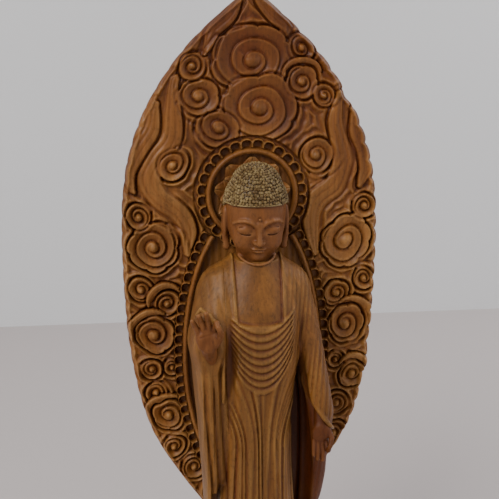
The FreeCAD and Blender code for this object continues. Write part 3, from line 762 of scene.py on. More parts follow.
# Rows for column(): height, centre x, half width, front y, back y
TRUNK = [
    (60.6, 0.0, 20.4, -25.0, 11.6), (70, 0.0, 19.3, -24.6, 11.4), (85, -0.4, 17.4, -23.6, 10.8),
    (105, -1.5, 14.5, -22.6, 10.4), (120, -1.6, 13.5, -22.0, 10.4), (140, -1.6, 13.2, -21.6, 10.6),
    (155, -1.3, 14.1, -21.8, 11.0), (168, -0.8, 15.6, -22.0, 11.6), (178, -0.8, 16.8, -20.6, 11.9),
    (187, -0.8, 17.2, -18.0, 11.2), (195, -0.8, 15.2, -14.6, 9.4), (201, -0.8, 11.4, -12.0, 7.8),
    (206, -0.8, 8.6, -10.2, 6.4),
]
RIGHT_SLEEVE = [
    (97, -20.6, 2.4, -9, 5), (104, -20.2, 3.0, -12.5, 6), (115, -20.0, 3.6, -15.5, 7),
    (125, -20.3, 3.9, -17, 8), (136, -20.5, 4.2, -18.4, 8), (150, -20.8, 4.9, -20.4, 8),
    (160, -21.0, 5.5, -22.4, 8), (170, -21.0, 6.1, -23.4, 8), (180, -20.4, 6.5, -21.6, 7),
    (189, -19.2, 5.6, -14.5, 6), (198, -17, 3.2, -5, 4),
]
LEFT_SLEEVE = [
    (91, 21.3, 4.3, -4, 5), (100, 22.8, 5.4, -5.4, 6), (110, 23.8, 5.9, -6.6, 7), (120, 23.9, 5.9, -8.4, 7),
    (131, 24.2, 6.3, -11.4, 7.5), (137, 24.3, 6.6, -13.5, 8), (143, 24.0, 6.6, -17.2, 8),
    (150, 23.0, 6.2, -17.4, 8), (160, 21.6, 5.9, -15.8, 8), (172, 19.8, 5.6, -13.0, 8),
    (184, 17.6, 5.2, -9.6, 7), (196, 15, 3.0, -4, 4),
]


def ridge(phase, sharp=1.0):
    """Rounded folds with narrow valleys, one for each 1 of phase: 0 in a valley and 1 on a crest."""
    t = phase - np.floor(phase)
    return 1 - np.abs(2 * t ** sharp - 1) ** 1.8


def body_folds(x, y, z):
    """How far the cloth stands out from the plain body."""
    px = x - TRUNK_X
    front = step_up(-y, 2, 9)
    # the bare chest lies lower than the collar edges beside it
    opening = 9.6 - np.abs(px) - 0.030 * (206 - z)
    chest = step_up(opening, 0.0, 0.7) * step_up(z, 182.6 + 0.01 * px * px, 183.6)
    out = 0.9 * (1 - chest) + 0.30 * groove(opening + 0.7, 0.9) * step_up(z, 183, 187) * front
    # hanging folds across the belly
    z0 = (z - 0.435 * px * px) / np.maximum(1 - 0.0022 * px * px, 0.5)
    phase = (182.8 - z0) / 2.95
    fade = step_up(phase, -0.1, 0.25) * (1 - step_up(phase, 8.7, 9.3))
    fade = fade * step_up(px, -12.4, -10.2) * (1 - step_up(px, 12.4, 14.4))
    belly = 0.80 * ridge(phase, 1.35) * fade * front
    # long folds of the skirt, drawn in towards the middle below the belly
    s = np.clip((z - 134) / 24, 0, 1.6)
    spread = np.where(z < 134, 1 + 0.12 * (134 - z) / 60, 1 + 1.25 * s * s)
    u = (px - 0.6) / spread
    below = (1 - step_up(z0, 156.2, 157.6)) * (1 - step_up(z, 166, 178))
    calm = 1 - 0.35 * step_up(z, 142, 154) * step_up(2.0 - np.abs(u), 0, 1.2)
    wander = 0.30 * np.sin(u * 0.8 + 0.6) + 0.16 * np.sin(z * 0.06 + u)
    uneven = 0.72 + 0.28 * np.sin(1.7 * u + 1.0 + z * 0.02)
    skirt = 0.66 * uneven * ridge(u / 2.7 + wander, 1.15) + 0.40 * ridge(u / 1.75 + 1.3 * wander + 0.37, 1.4)
    skirt = skirt + 0.24 * ridge(u / 0.98 + 2 * wander + 0.3, 1.2)
    skirt = skirt * calm * below * front
    # soft folds round the sides, and hanging ones across the upper back
    around = np.arctan2(px, y + 5)
    sides = 0.9 * ridge(around * 4.6 + 0.4 * np.sin(z * 0.035), 1.1)
    sides = sides * (1 - front) * (1 - step_up(z, 168, 186))
    cowl = 0.8 * ridge((z + 0.045 * px * px) / 6.5, 0.8) * step_up(y, 2, 6)
    cowl = cowl * step_up(z, 150, 165) * (1 - step_up(z, 196, 202))
    # hem of the outer robe, with the inner robe showing under it
    hem = 71 + 1.6 * np.cos(px * 0.16) + 0.35 * np.sin(px * 1.6)
    out = out - 1.1 * (1 - step_up(z, hem - 0.5, hem + 0.1))
    return out + belly + skirt + sides + cowl


def shoulder_folds(x, y, z):
    """Fine upright folds over the shoulders and upper arms."""
    px = x - TRUNK_X
    amount = step_up(z, 150, 170) * (1 - step_up(z, 201, 206))
    amount = amount * step_up(np.abs(px), 9.8, 12) * step_up(-y, -4, 3)
    lean = px - 0.12 * (z - 185) * np.sign(px)
    left = 0.20 * ridge(lean / 1.9 + 0.35 * np.sin(z * 0.09), 1.1)
    right = 0.16 * ridge(lean / 3.4 + 0.25 * np.sin(z * 0.07), 1.0)
    return amount * np.where(px > 0, left, right)


def right_sleeve(p):
    """The raised arm's sleeve: cloth that falls from the forearm, and the mouth round the hand's wrist."""
    x, y, z = p
    d = column(p, RIGHT_SLEEVE, 2.2)
    d = blend(d, rod(p, (-16.2, -1, 191.4), (-18.6, -3, 173), 8.2, 8.0), 3)
    d = blend(d, rod(p, (-18.6, -4, 173), (-20.4, -20.0, 175.5), 7.2, 5.0), 6)
    d = blend(d, string(p, [(-12.8, -4.5, 198), (-14.0, -9.6, 184), (-14.6, -12.3, 158), (-14.8, -10.5, 120)],
                        [5.2, 7.2, 6.6, 5.2]), 4)
    lean = x + 0.16 * y + 0.05 * (z - 150)
    fall = 0.55 * ridge(lean / 3.1 + 0.25 * np.sin(z * 0.05), 1.3)
    fall = fall + 0.16 * ridge(lean / 1.2 + 0.4 * np.sin(z * 0.07))
    d = d - fall * (1 - step_up(z, 156, 176)) * step_up(-y, 4, 12)
    mouth = [(-24.0, -24.6, 189), (-21.0, -27, 186), (-19.3, -28, 178), (-18.6, -26, 168), (-18.2, -24, 160)]
    d = carve(d, string(p, mouth, [2.4, 4.2, 4.2, 3.0, 1.3]), 0.9)
    edge = [(-25.3, -17.8, 188.0), (-23.4, -19.6, 190.6), (-20.4, -20.8, 188.4), (-17.0, -21.4, 184.0),
            (-15.3, -21.8, 178), (-15.0, -21.6, 170), (-15.3, -20.9, 162), (-15.6, -20.0, 153)]
    d = blend(d, string(p, edge, [0.4, 0.7, 0.85, 0.85, 0.75, 0.7, 0.65, 0.5]), 0.8)
    d = blend(d, rod(p, (-19.6, -22.4, 177), (-17.2, -15.8, 121), 0.6, 0.45), 0.8)
    d = blend(d, rod(p, (-22.4, -21.6, 178), (-20.6, -15.6, 118), 0.6, 0.45), 0.8)
    hem = 111.5 + 1.6 * (x + 16.5)
    d = np.maximum(d, (hem - z) * 0.50)
    d = carve(d, rod(p, (-17.6, -13.5, 100), (-17.6, -13.0, 108.5), 3.4, 3.0), 0.8)
    lining = np.maximum(np.abs(x + 16.6) - 4.4, np.maximum(np.abs(y - 0.5) - 3.0, np.abs(z - 112) - 14))
    d = blend(d, lining, 1.0)
    pin_hole = rod(p, (-20.2, -22, 170.4), (-20.2, -30, 170.2), 0.5)
    return carve(d, pin_hole, 0.1)


def left_sleeve(p):
    """The lowered arm's sleeve: its slanting mouth, and a deep hollow between it and the skirt."""
    x, y, z = p
    d = column(p, LEFT_SLEEVE, 2.2)
    d = blend(d, rod(p, (13.4, -1, 191.4), (17.0, -2.4, 171), 8.0, 7.4), 3)
    hang = (x - 0.10 * (z - 140)) / 2.1 + 0.35 * np.sin(z * 0.05)
    hang = 0.20 * ridge(hang, 1.1) + 0.10 * ridge(2.3 * hang + 0.4, 1.2)
    d = d - hang * step_up(-y, 2, 9)
    web = np.maximum(np.abs(x - 17) - 6, np.maximum(np.abs(y - 3.5) - 4.0, np.abs(z - 133) - 41))
    d = blend(d, web, 1.5)
    for depth, narrow in ((-19, 1.0), (-13, 0.96), (-7, 0.85)):
        hollow = [(18.4, depth, 92), (18.1, depth, 118), (17.5, depth, 134), (16.6, depth, 150),
                  (15.0, depth, 168)]
        d = carve(d, string(p, hollow, [5.0 * narrow, 5.0 * narrow, 4.6 * narrow, 3.5 * narrow, 1.2]), 1.0)
    slant = (z - 147.0 + 1.45 * (x - 21.0)) * 0.57
    d = carve(d, np.maximum(slant, (y + 12.4 + 0.30 * (x - 25)) * 0.95), 0.8)
    cuff = [(20.6, -15.0, 148.6), (22.4, -17.2, 146.2), (25.0, -17.4, 142.2), (28.0, -14.8, 138.0),
            (30.2, -9.8, 134.4)]
    return blend(d, string(p, cuff, [0.5, 0.75, 0.8, 0.8, 0.7]), 0.9)


def figure_field(p):
    """Signed distance to the clothed figure without head, hands and feet."""
    x, y, z = p
    trunk = column(p, TRUNK, 2.25)
    trunk = blend(trunk, rod(p, (-14.0, -1.0, 192.6), (11.2, -1.0, 192.4), 8.8), 4)
    for shoulder in ((-14.2, -1, 195.0), (11.6, -1, 194.8)):
        trunk = blend(trunk, rod(p, (TRUNK_X, 0.4, 203), shoulder, 7.6, 7.4), 3)
    trunk = trunk - body_folds(x, y, z) * (0.5 + 0.5 * step_up(z, 60, 64)) + 0.5
    whole = blend(trunk, right_sleeve(p), 1.2)
    whole = blend(whole, left_sleeve(p), 1.2)
    shade = [(-12.9, -22.5, 184), (-12.6, -20.8, 174), (-12.7, -19.8, 164), (-13.4, -19.0, 155)]
    whole = carve(whole, string(p, shade, [0.8, 2.3, 2.1, 0.3]), 1.8)
    whole = whole - shoulder_folds(x, y, z)
    # two small knots in the wood, at the upper edge of the belly folds
    for at, radii in (((4.9, -20.3, 185.9), (1.1, 1.3, 0.7)), ((5.7, -20.0, 187.2), (0.5, 1.2, 0.9))):
        whole = carve(whole, ellipsoid(p, at, radii), 0.15)
    return whole


SPLIT = 14.0  # the flat joints between the middle block and the two arm blocks, either side of the middle
SPLIT_FOOT = 90.0  # height of the arm blocks' lower faces
HEM_Z = 60.55  # height of the skirt's lower edge


def painted_shade_cloth(x, y, z):
    """Painted shade on the cloth, taken from its wear: beside the skirt, in the sleeve mouths, round the left
    hand and on the chest.
    """
    beside = step_up(x, 12.6, 14.2) * (1 - step_up(z, 156, 172)) * step_up(y, -17, -12)
    low_sleeve = step_up(x, 13, 16) * (1 - step_up(z + 1.45 * (x - 21), 143, 148))
    mouth = bump_at(x, -12.6, 3.4) * step_up(z, 152, 172) * (1 - step_up(z, 178, 188))
    mouth = mouth * step_up(y, -20.5, -18)
    chest = (1 - step_up(np.abs(x), 8, 9.5)) * step_up(z, 183, 186) * step_up(-y, 6, 9)
    return 0.12 * beside + 0.40 * low_sleeve + 0.30 * mouth + 0.18 * chest


def figure_blocks():
    """The clothed figure in its three glued blocks, which meet on flat joints."""
    step = 0.33
    far = 400.0  # clear of the figure on every side
    blocks = [
        ("robe_body", "figure_body", (-22.5, -29.0, 59.9), (22.5, 14.0, 210.5), None),
        ("robe_right_arm", "right_arm", (-29.5, -30.5, 89.0), (-13.2, 14.0, 210.5),
         ((-far, -far, SPLIT_FOOT), (-SPLIT, far, far))),
        ("robe_left_arm", "left_arm", (13.2, -27.0, 89.0), (33.0, 14.0, 210.5),
         ((SPLIT, -far, SPLIT_FOOT), (far, far, far))),
    ]
    for name, node, low, high, flats in blocks:
        p = space(low, high, step)
        x, y, z = p
        d = uncut = figure_field(p)
        if flats is None:
            d = np.where((z > SPLIT_FOOT) & (np.abs(x) > SPLIT + step), BAND * step, d)
            d = np.maximum(d, HEM_Z - z)
            d = carve(d, ellipsoid(p, (TRUNK_X, -1.5, 209), (8.0, 8.0, 7.5)), 0.5)
        # painted shade on the cloth lowers its wear, which darkens its colour
        item = solid(name, d, low, step, flats=flats, contrast=0.75, painted_shade=painted_shade_cloth(x, y, z), uncut=uncut)
        if flats is None:
            flatten_split(item)
        finish_piece(item, ROBE, "wood_robe", "figure", node)


def flatten_split(item):
    """Moves the middle block's points that lie past the joint planes onto them."""
    mesh = item.data
    points = np.zeros(len(mesh.vertices) * 3, np.float32)
    mesh.vertices.foreach_get("co", points)
    points = points.reshape(-1, 3) / MM
    over = (np.abs(points[:, 0]) > SPLIT) & (points[:, 2] > SPLIT_FOOT)
    sink = over & (points[:, 2] - SPLIT_FOOT < np.abs(points[:, 0]) - SPLIT)
    points[sink, 2] = SPLIT_FOOT
    across = over & ~sink
    points[across, 0] = np.sign(points[across, 0]) * SPLIT
    mesh.vertices.foreach_set("co", (points * MM).ravel())
    mesh.update()


def hand(name, node, box, palm, wrist, ease, pads, fingers, creases, painted_shade=None):
    """A hand: a palm with soft pads on a wrist, fingers as strings of rods, and creases cut into the palm."""
    low, high = box
    step = 0.17
    p = space(low, high, step)
    d = blend(ellipsoid(p, *palm), rod(p, *wrist), ease)
    for pad in pads:
        d = blend(d, ellipsoid(p, *pad), 0.9)
    for points, radii in fingers:
        d = blend(d, string(p, points, radii), 0.45)
    for start, end in creases:
        d = carve(d, rod(p, start, end, 0.35), 0.4)
    # stain is painted shade, which darkens the hand's colour
    item = solid(name, d, low, step, contrast=0.9, painted_shade=painted_shade)
    finish_piece(item, SKIN, "wood_skin", "figure", node)


def hands():
    """The raised hand shows its palm, the lowered one hangs. Thumb and first finger meet on both."""
    hand(
        "hand_raised", "right_hand", ((-31.5, -33.5, 168), (-14.5, -17.5, 196.5)),
        palm=((-21.4, -26.6, 182.2), (4.5, 2.0, 4.8)),
        wrist=((-20.2, -20.0, 170), (-21.1, -26.0, 178.0), 2.9),
        ease=1.6,
        pads=[((-18.6, -27.7, 181.2), (1.8, 1.5, 3.1)), ((-23.8, -27.6, 181.0), (1.5, 1.2, 3.1))],
        fingers=[
            ([(-20.7, -27.0, 185.8), (-21.4, -27.9, 189.2), (-22.0, -29.6, 192.2)], (1.22, 1.14, 0.92)),
            ([(-22.9, -27.0, 185.4), (-23.9, -27.8, 188.8), (-24.7, -29.4, 191.3)], (1.20, 1.10, 0.90)),
            ([(-24.9, -26.8, 184.2), (-26.1, -27.4, 187.2), (-27.0, -28.8, 189.3)], (1.08, 1.00, 0.82)),
            ([(-18.8, -27.2, 185.4), (-18.3, -29.3, 188.4), (-17.9, -30.9, 187.2)], (1.18, 1.08, 0.88)),
            ([(-17.7, -27.4, 180.8), (-16.7, -29.2, 184.0), (-17.5, -30.9, 186.4)], (1.35, 1.18, 0.92)),
        ],
        creases=[
            ((-18.2, -28.9, 184.6), (-24.4, -28.9, 182.8)),
            ((-19.4, -29.3, 178.6), (-20.4, -29.3, 184.0)),
        ],
    )
    hand(
        "hand_lowered", "left_hand", ((17.5, -20.5, 121), (31.5, -7.5, 149)),
        palm=((24.2, -14.6, 134.6), (3.7, 1.8, 4.4)),
        wrist=((24.6, -10.5, 146.5), (24.3, -13.4, 138), 2.7),
        ease=1.5,
        pads=[((26.4, -15.4, 135.6), (1.5, 1.3, 2.8))],
        fingers=[
            ([(24.7, -15.0, 131.0), (24.9, -16.2, 127.4), (24.7, -16.8, 124.2)], (1.12, 1.04, 0.84)),
            ([(23.0, -15.0, 131.2), (22.9, -16.2, 127.8), (22.7, -16.9, 124.8)], (1.1, 1.0, 0.8)),
            ([(21.5, -14.7, 132.0), (21.2, -15.8, 128.9), (21.0, -16.5, 126.4)], (0.98, 0.9, 0.74)),
            ([(26.3, -14.9, 131.4), (27.0, -16.7, 128.2), (27.2, -18.0, 130.2)], (1.1, 1.0, 0.82)),
            ([(27.0, -14.9, 136.4), (28.2, -16.7, 133.6), (27.5, -18.0, 131.0)], (1.25, 1.1, 0.86)),
        ],
        creases=[
            ((26.0, -16.8, 132.6), (21.8, -16.8, 133.6)),
            ((25.0, -17.0, 138.4), (24.0, -17.0, 133.4)),
        ],
        # painted shade: the lowered hand is darkened as if in the cuff's shadow
        painted_shade=np.float32(0.40),
    )


def feet():
    """Two bare feet, side by side, cut flat below the ankle where they meet the skirt."""
    step = 0.2
    for side, name, near, far in ((-1, "right", -15.0, -3.0), (1, "left", 3.0, 15.0)):
        low = (near, -34, 54.4)
        p = space(low, (far, 8, 62), step)
        d = rod(p, (9 * side, 2, 58.6), (9.2 * side, -21.5, 57.0), 4.4, 3.4)
        d = blend(d, ellipsoid(p, (9.3 * side, -22.5, 56.6), (4.7, 5.0, 2.7)), 1.5)
        for k in range(5):
            tx = (6.0 + 1.75 * k if k else 5.9) * side
            reach = -30.2 + 0.55 * k if k else -30.0
            size = 0.92 - 0.05 * k if k else 1.15
            toe = rod(p, (tx, -24.5, 56.9), (tx, reach, 56.2), size + 0.15, size)
            d = blend(d, toe, 0.35)
        d = np.maximum(d, SEAT_TOP + CLEAR - p[2])
        d = np.maximum(d, p[2] - 60.5)
        finish_piece(solid("foot_" + name, d, low, step), SKIN, "wood_skin", "figure", name + "_foot")


HEAD_AT = (-0.9, -1.2, 221.2)
HEAD_TILT = math.radians(13)

# Centre and radii of the skull and of the bump on its crown, in the head's own frame
CRANIUM = ((0, 0.9, 6.0), (12.2, 13.1, 12.9))
TOPKNOT = ((0, 1.8, 15.4), (8.3, 8.3, 5.9))


def into_head(p):
    """Coordinates in the head's own frame, about HEAD_AT and bowed forward by HEAD_TILT."""
    x, y, z = [v - c for v, c in zip(p, HEAD_AT)]
    c, s = math.cos(HEAD_TILT), math.sin(HEAD_TILT)
    return x, c * y + s * z, c * z - s * y


def out_of_head(points):
    """The way back, for points in the head's own frame."""
    x, y, z = np.asarray(points, float).T
    c, s = math.cos(HEAD_TILT), math.sin(HEAD_TILT)
    return np.stack([x, c * y - s * z, s * y + c * z], axis=-1) + HEAD_AT


def hair_surface(q):
    """Signed distance to the skull and its bump, in the head's frame."""
    return blend(ellipsoid(q, *CRANIUM), ellipsoid(q, *TOPKNOT), 2.6)


def hairline(x, y):
    """Height of the hair's lower edge in the head's frame."""
    return 9.4 - 0.012 * x * x - 0.66 * np.maximum(y + 4.5, 0) * step_up(y, -6, 6)


def head():
    """The head with its neck, which is set into the body, and its hair."""
    low, high, step = (-15.5, -20, 188), (14, 14, 245.5), 0.2
    p = space(low, high, step)
    q = into_head(p)
    x, y, z = q
    m = (np.abs(x), y, z)  # both sides at once
    face = ellipsoid(q, (0, -2.4, -1.0), (11.0, 10.9, 12.6))
    face = blend(face, ellipsoid(q, (0, 0.9, 5.2), (11.7, 12.5, 12.2)), 2.0)
    face = blend(face, ellipsoid(q, (0, -5.2, -9.0), (6.9, 6.4, 5.2)), 3.0)
    face = blend(face, ellipsoid(q, (0, -10.0, -11.8), (2.4, 1.9, 1.8)), 1.6)
    face = blend(face, ellipsoid(m, (5.2, -8.2, -5.2), (4.1, 3.8, 4.6)), 2.0)
    face = carve(face, ellipsoid(m, (4.6, -14.5, 1.2), (3.9, 2.4, 2.1)), 1.8)
    face = blend(face, ellipsoid(m, (4.7, -10.3, -0.1), (3.5, 2.35, 2.1)), 0.9)
    brow = [(1.3, -12.8, 1.9), (3.0, -12.6, 3.3), (5.4, -11.8, 3.8), (7.8, -10.2, 3.1), (9.4, -8.4, 1.7)]
    face = blend(face, string(m, brow, [0.35, 0.40, 0.36, 0.32, 0.25]), 1.6)
    slit = [(1.8, -12.1, -0.8), (3.2, -12.3, -1.45), (4.9, -12.2, -1.75), (6.5, -11.5, -1.5),
            (8.0, -10.3, -0.9)]
    face = carve(face, string(m, slit, [0.18, 0.32, 0.34, 0.30, 0.15]), 0.25)
    lid = [(2.0, -12.3, 0.9), (3.6, -12.8, 1.75), (5.4, -12.2, 1.75), (7.4, -10.8, 0.9)]
    face = carve(face, string(m, lid, 0.16), 0.35)
    nose = string(q, [(0, -12.5, 2.6), (0, -13.8, -1.0), (0, -14.9, -4.1)], [0.75, 0.9, 1.2])
    nose = blend(nose, ellipsoid(m, (1.3, -13.6, -4.5), (0.95, 1.2, 0.85)), 0.8)
    face = blend(face, nose, 1.2)
    face = carve(face, ellipsoid(m, (0.75, -14.4, -5.3), (0.42, 0.5, 0.3)), 0.2)
    face = carve(face, rod(q, (0, -13.6, -5.9), (0, -13.4, -6.7), 0.35), 0.5)
    lips = ellipsoid(m, (1.1, -12.2, -7.5), (1.7, 1.0, 0.58))
    lips = blend(lips, ellipsoid(q, (0, -12.0, -8.6), (2.0, 1.1, 0.75)), 0.25)
    face = blend(face, lips, 0.6)
    mouth = [(0, -13.2, -8.0), (1.5, -12.9, -7.95), (2.6, -12.2, -7.75)]
    face = carve(face, string(m, mouth, [0.20, 0.18, 0.12]), 0.35)
    face = carve(face, ellipsoid(q, (0, -12.6, -10.0), (1.9, 0.6, 0.5)), 0.8)
    face = blend(face, ellipsoid(q, (0, -13.0, 4.8), (0.55, 0.55, 0.55)), 0.1)
    ear = ellipsoid(m, (11.9, 0.4, -1.6), (1.5, 3.3, 7.0))
    ear = blend(ear, rod(m, (11.8, -0.5, -6.6), (11.2, -1.1, -11.2), 1.35, 1.6), 1.0)
    ear = carve(ear, ellipsoid(m, (13.4, 0.0, -0.4), (1.2, 1.8, 4.4)), 0.5)
    ear = carve(ear, rod(m, (10.0, -0.9, -10.2), (14.0, -1.0, -10.2), 0.75), 0.3)
    face = blend(face, ear, 0.8)
    neck = string(p, [(-0.9, 0.6, 212), (TRUNK_X, -1.5, 203), (TRUNK_X, -1.5, 189.2)], [7.6, 7.8, 7.2])
    for ring_z, tip in ((205.6, 0.10), (203.0, 0.06)):
        neck = neck + 0.45 * groove(p[2] - ring_z - tip * (p[1] + 1.5), 0.45)
    fold = []
    for a in np.linspace(-1.2, 1.2, 11):
        fold.append((7.6 * math.sin(a) + TRUNK_X, -9.3 * math.cos(a) - 1.6, 208.9 - 4.2 * math.cos(a)))
    neck = blend(neck, string(p, fold, 0.55), 0.7)
    skin = blend(face, neck, 1.6)
    hair = hair_surface(q)
    fillet = np.maximum(hair - 0.35, np.abs(z - hairline(x, y) - 0.2) - 0.35)
    hair = blend(np.maximum(hair, (hairline(x, y) - z) * 0.8), fillet, 0.3)
    nape = ellipsoid(q, (0, 3.8, -1.0), (10.2, 9.6, 9.5))
    hair = blend(hair, np.maximum(nape, 1.0 - y), 1.0)
    item = solid("head", np.minimum(skin, hair + 0.15), low, step, contrast=0.9)
    finish_piece(item, SKIN, "wood_skin", "figure", "head")
    item.data.materials.append(HAIR)
    paint_hair(item)
    curls()


def paint_hair(item):
    """Gives the hair's faces the hair material."""
    mesh = item.data
    centres = np.zeros(len(mesh.polygons) * 3, np.float32)
    mesh.polygons.foreach_get("center", centres)
    x, y, z = into_head(centres.reshape(-1, 3).T / MM)
    hair = z > hairline(x, y) - 0.15
    hair |= (y > 2.2) & (z > -10.5) & (np.abs(x) < 10.4)
    mesh.polygons.foreach_set("material_index", hair.astype(np.int32))


def snail(turns=1.5, rings=6, around=10):
    """One small snail curl about the origin: points, quads and wear of a dome with a spiral groove."""
    v = np.linspace(0, 1, rings)[:, None]
    a = np.arange(around)[None, :] * TAU / around
    r = v + 0 * a
    spiral = 0.5 + 0.5 * np.cos(TAU * (r * turns) - a)
    h = 1.05 * np.sqrt(np.clip(1 - (r * 0.98) ** 2, 0, 1)) * (0.70 + 0.40 * spiral)
    points = np.stack([r * np.cos(a), r * np.sin(a), h - 0.25], axis=-1)
    wear = np.where(r > 0.8, 0.05, 0.25 + 0.75 * h / h.max() * (0.6 + 0.4 * spiral))
    return points.reshape(-1, 3), grid_quads(rings, around, wrap=True)[:, ::-1], wear.ravel()


def curls():
    """Rows of snail curls over the hair and the cranial bump, each a little different."""
    shape, quads, wear = snail()
    parts = []

    def inside(point, ball):
        return sum(((v - c) / r) ** 2 for v, c, r in zip(point, *ball)) < 0.99

    for ball, other, size in ((CRANIUM, TOPKNOT, 0.68), (TOPKNOT, CRANIUM, 0.64)):
        centre, radii = np.array(ball[0]), np.array(ball[1])
        rows = int(math.pi * radii.mean() / (size * 1.66))
        for i in range(rows + 1):
            polar = math.pi * i / rows
            count = max(1, int(TAU * radii[:2].mean() * math.sin(polar) / (size * 1.74)))
            for k in range(count):
                # two fixed numbers from 0 to 1 for each curl, which look random
                chance = math.sin(12.9898 * i + 78.233 * k) * 43758.5453 % 1
                other_chance = math.sin(39.3468 * i + 11.135 * k) * 24634.6345 % 1
                a = TAU * (k + 0.5 * (i % 2) + 0.55 * (chance - 0.5)) / count
                tilt = polar + 0.45 * (other_chance - 0.5) * math.pi / rows
                n = np.array([math.sin(tilt) * math.cos(a), math.sin(tilt) * math.sin(a), math.cos(tilt)])
                at = centre + radii * n
                behind = at[1] > 2.4 and at[2] > -8.0
                if inside(at, other) or (at[2] < hairline(at[0], at[1]) + 0.4 and not behind):
                    continue
                if abs(at[0]) > 10.6 and at[2] < 4.0:
                    continue
                normal = n / radii
                normal /= np.linalg.norm(normal)
                for _ in range(3):
                    at = at - normal * hair_surface(at)
                across = np.array([math.cos(TAU * chance), math.sin(TAU * chance), 0.3])
                across -= normal * (across @ normal)
                across /= np.linalg.norm(across)
                basis = np.stack([across, np.cross(normal, across), normal])
                grown = size * (0.88 + 0.26 * chance)
                parts.append((at + (shape * grown) @ basis, quads, wear * (0.55 + 0.75 * other_chance)))
    points, faces, none, wears = joined(parts)
    item = add_mesh("hair_curls", out_of_head(points), faces, none, wears)
    finish_piece(item, HAIR, "wood_hair", "figure")


def figure():
    figure_blocks()
    head()
    hands()
    feet()


# ------------------------------------------------------------------ the throne

PETAL_BALL_Z = 52  # height of the centre of the balls that the petals lie on
SEAT_FOOT, SEAT_TOP = 35, 55
COLLAR_FOOT, COLLAR_TOP = 27.5, 30
UPPER_PLINTH, LOWER_PLINTH = 18, 11  # heights of their tops


def petal(width, foot, tip, shell, thickness, flare):
    """One cupped lotus petal on the throne's -Y side, on a ball of radius shell about its middle line."""
    rows, columns = 34, 25
    u = np.linspace(-1, 1, columns)[None, :]
    v = np.linspace(0, 1, rows)[:, None]
    z = foot + (tip - foot) * v
    outline = 0.62 + 0.38 * np.sin(np.clip(v / 0.55, 0, 1) * math.pi / 2)
    point = np.sqrt(np.clip(1 - np.clip((v - 0.55) / 0.45, 0, 1) ** 2.1, 0, 1))
    half = width / 2 * outline * np.maximum(point, 0.02)
    z = z - 1.2 * np.abs(u) ** 2 * v
    ring = np.sqrt(np.clip(shell ** 2 - (z - PETAL_BALL_Z) ** 2, 4, None))
    ring = ring + flare * step_up(v, 0.72, 1.0) ** 1.5
    angle = u * half / ring
    border = groove(np.abs(u) - 0.86, 0.11) * 0.5
    lobes = 0.9 * bell(np.abs(u) - 0.42, 0.30) * np.sin(np.clip(v, 0, 1) * math.pi) ** 0.7
    bulge = lobes + border - 0.35 * groove(u, 0.09) * np.sin(v * math.pi)
    wear = relief_wear(bulge, 2, 0.5) + 0.25 * (v - 0.4) + 0.3 * step_up(np.abs(u), 0.85, 1.0)

    def sheet(r):
        return np.stack([r * np.sin(angle), -r * np.cos(angle), z], axis=-1)

    outside = sheet(ring + thickness / 2 + bulge)
    inside = sheet(ring - thickness / 2)
    return closed_sheet(outside, inside, wear, 0 * wear + 0.4)


def petal_rows():
    """The seat's three rows of eight petals."""
    # node, radius of the ball, foot and tip height, width, turn in parts of a petal, flare of the tip
    rows = [
        ("lotus_petals_upper", 36.9, 39.2, 58.4, 25.5, 0.0, 1.0),
        ("lotus_petals_middle", 39.6, 36.2, 51.9, 25.5, 0.5, 1.0),
        ("lotus_petals_lower", 42.2, 33.8, 46.0, 25.0, 0.0, 0.6),
    ]
    for node, shell, foot, tip, width, shift, flare in rows:
        points, quads, wear = petal(width, foot, tip, shell, 1.5, flare)
        parts = [(turned_about_z(points, TAU * (k + shift) / 8), quads, wear) for k in range(8)]
        item = add_mesh(node + "_carved", *joined(parts))
        finish_piece(item, THRONE, "wood_pedestal", "throne", node)


def lathe(name, radius_at, heights, count=256):
    """A turned piece. radius_at(height index, angles) gives radii, and both ends are closed."""
    angles = np.arange(count) * TAU / count
    radii = np.stack([radius_at(i, angles) for i in range(len(heights))])
    wear = relief_wear(radii, 2, 0.6)
    wear = np.concatenate([wear[:1], wear, wear[-1:]])
    rings = []
    for r, h in zip(radii, heights):
        rings.append(np.stack([r * np.cos(angles), r * np.sin(angles), np.full(count, h)], axis=-1))
    rings = [rings[0] * [0.001, 0.001, 1]] + rings + [rings[-1] * [0.001, 0.001, 1]]
    points = np.stack(rings).reshape(-1, 3)
    return add_mesh(name, points, grid_quads(len(rings), count, wrap=True), (), wear)


def seat():
    """The lotus seat, with a ribbed side, the two mortises of the feet and the halo's slot."""
    low, high, step = (-35, -35, 34.6), (35, 35, 56), 0.4
    p = space(low, high, step)
    x, y, z = p
    r = np.hypot(x, y) + 0 * z
    profile = np.interp(z.ravel(), [35, 36, 40.5, 45, 53.5, 55], [17.4, 19.5, 31, 33.4, 34.0, 33.4])
    d = (r - profile.reshape(z.shape)) * 0.8
    angle = np.arctan2(y, x) + 0 * z
    d = d + 0.35 * (0.5 + 0.5 * np.cos(angle * 72)) * step_up(r, 29, 31) * bump_at(z, 50, 5.5)
    d = np.maximum(d, z - (SEAT_TOP - CLEAR) + 0.35 * groove(r - 30.5, 0.8))
    d = np.maximum(d, SEAT_FOOT + CLEAR - z)
    # centre x, centre y, half width, half depth and floor height
    holes = [(-9, -6, 3.75, 4.75, 43), (9, -6, 3.75, 4.75, 43), (0, 27.25, 6.25, 3.0, 41)]
    for cx, cy, wide, deep, floor in holes:
        box = np.maximum(np.abs(x - cx) - wide, np.abs(y - cy) - deep)
        d = np.maximum(d, -np.maximum(box, floor - z))
    item = solid("seat", d, low, step, FLAT_MESH)
    finish_piece(item, THRONE, "wood_pedestal", "throne", "lotus_seat")


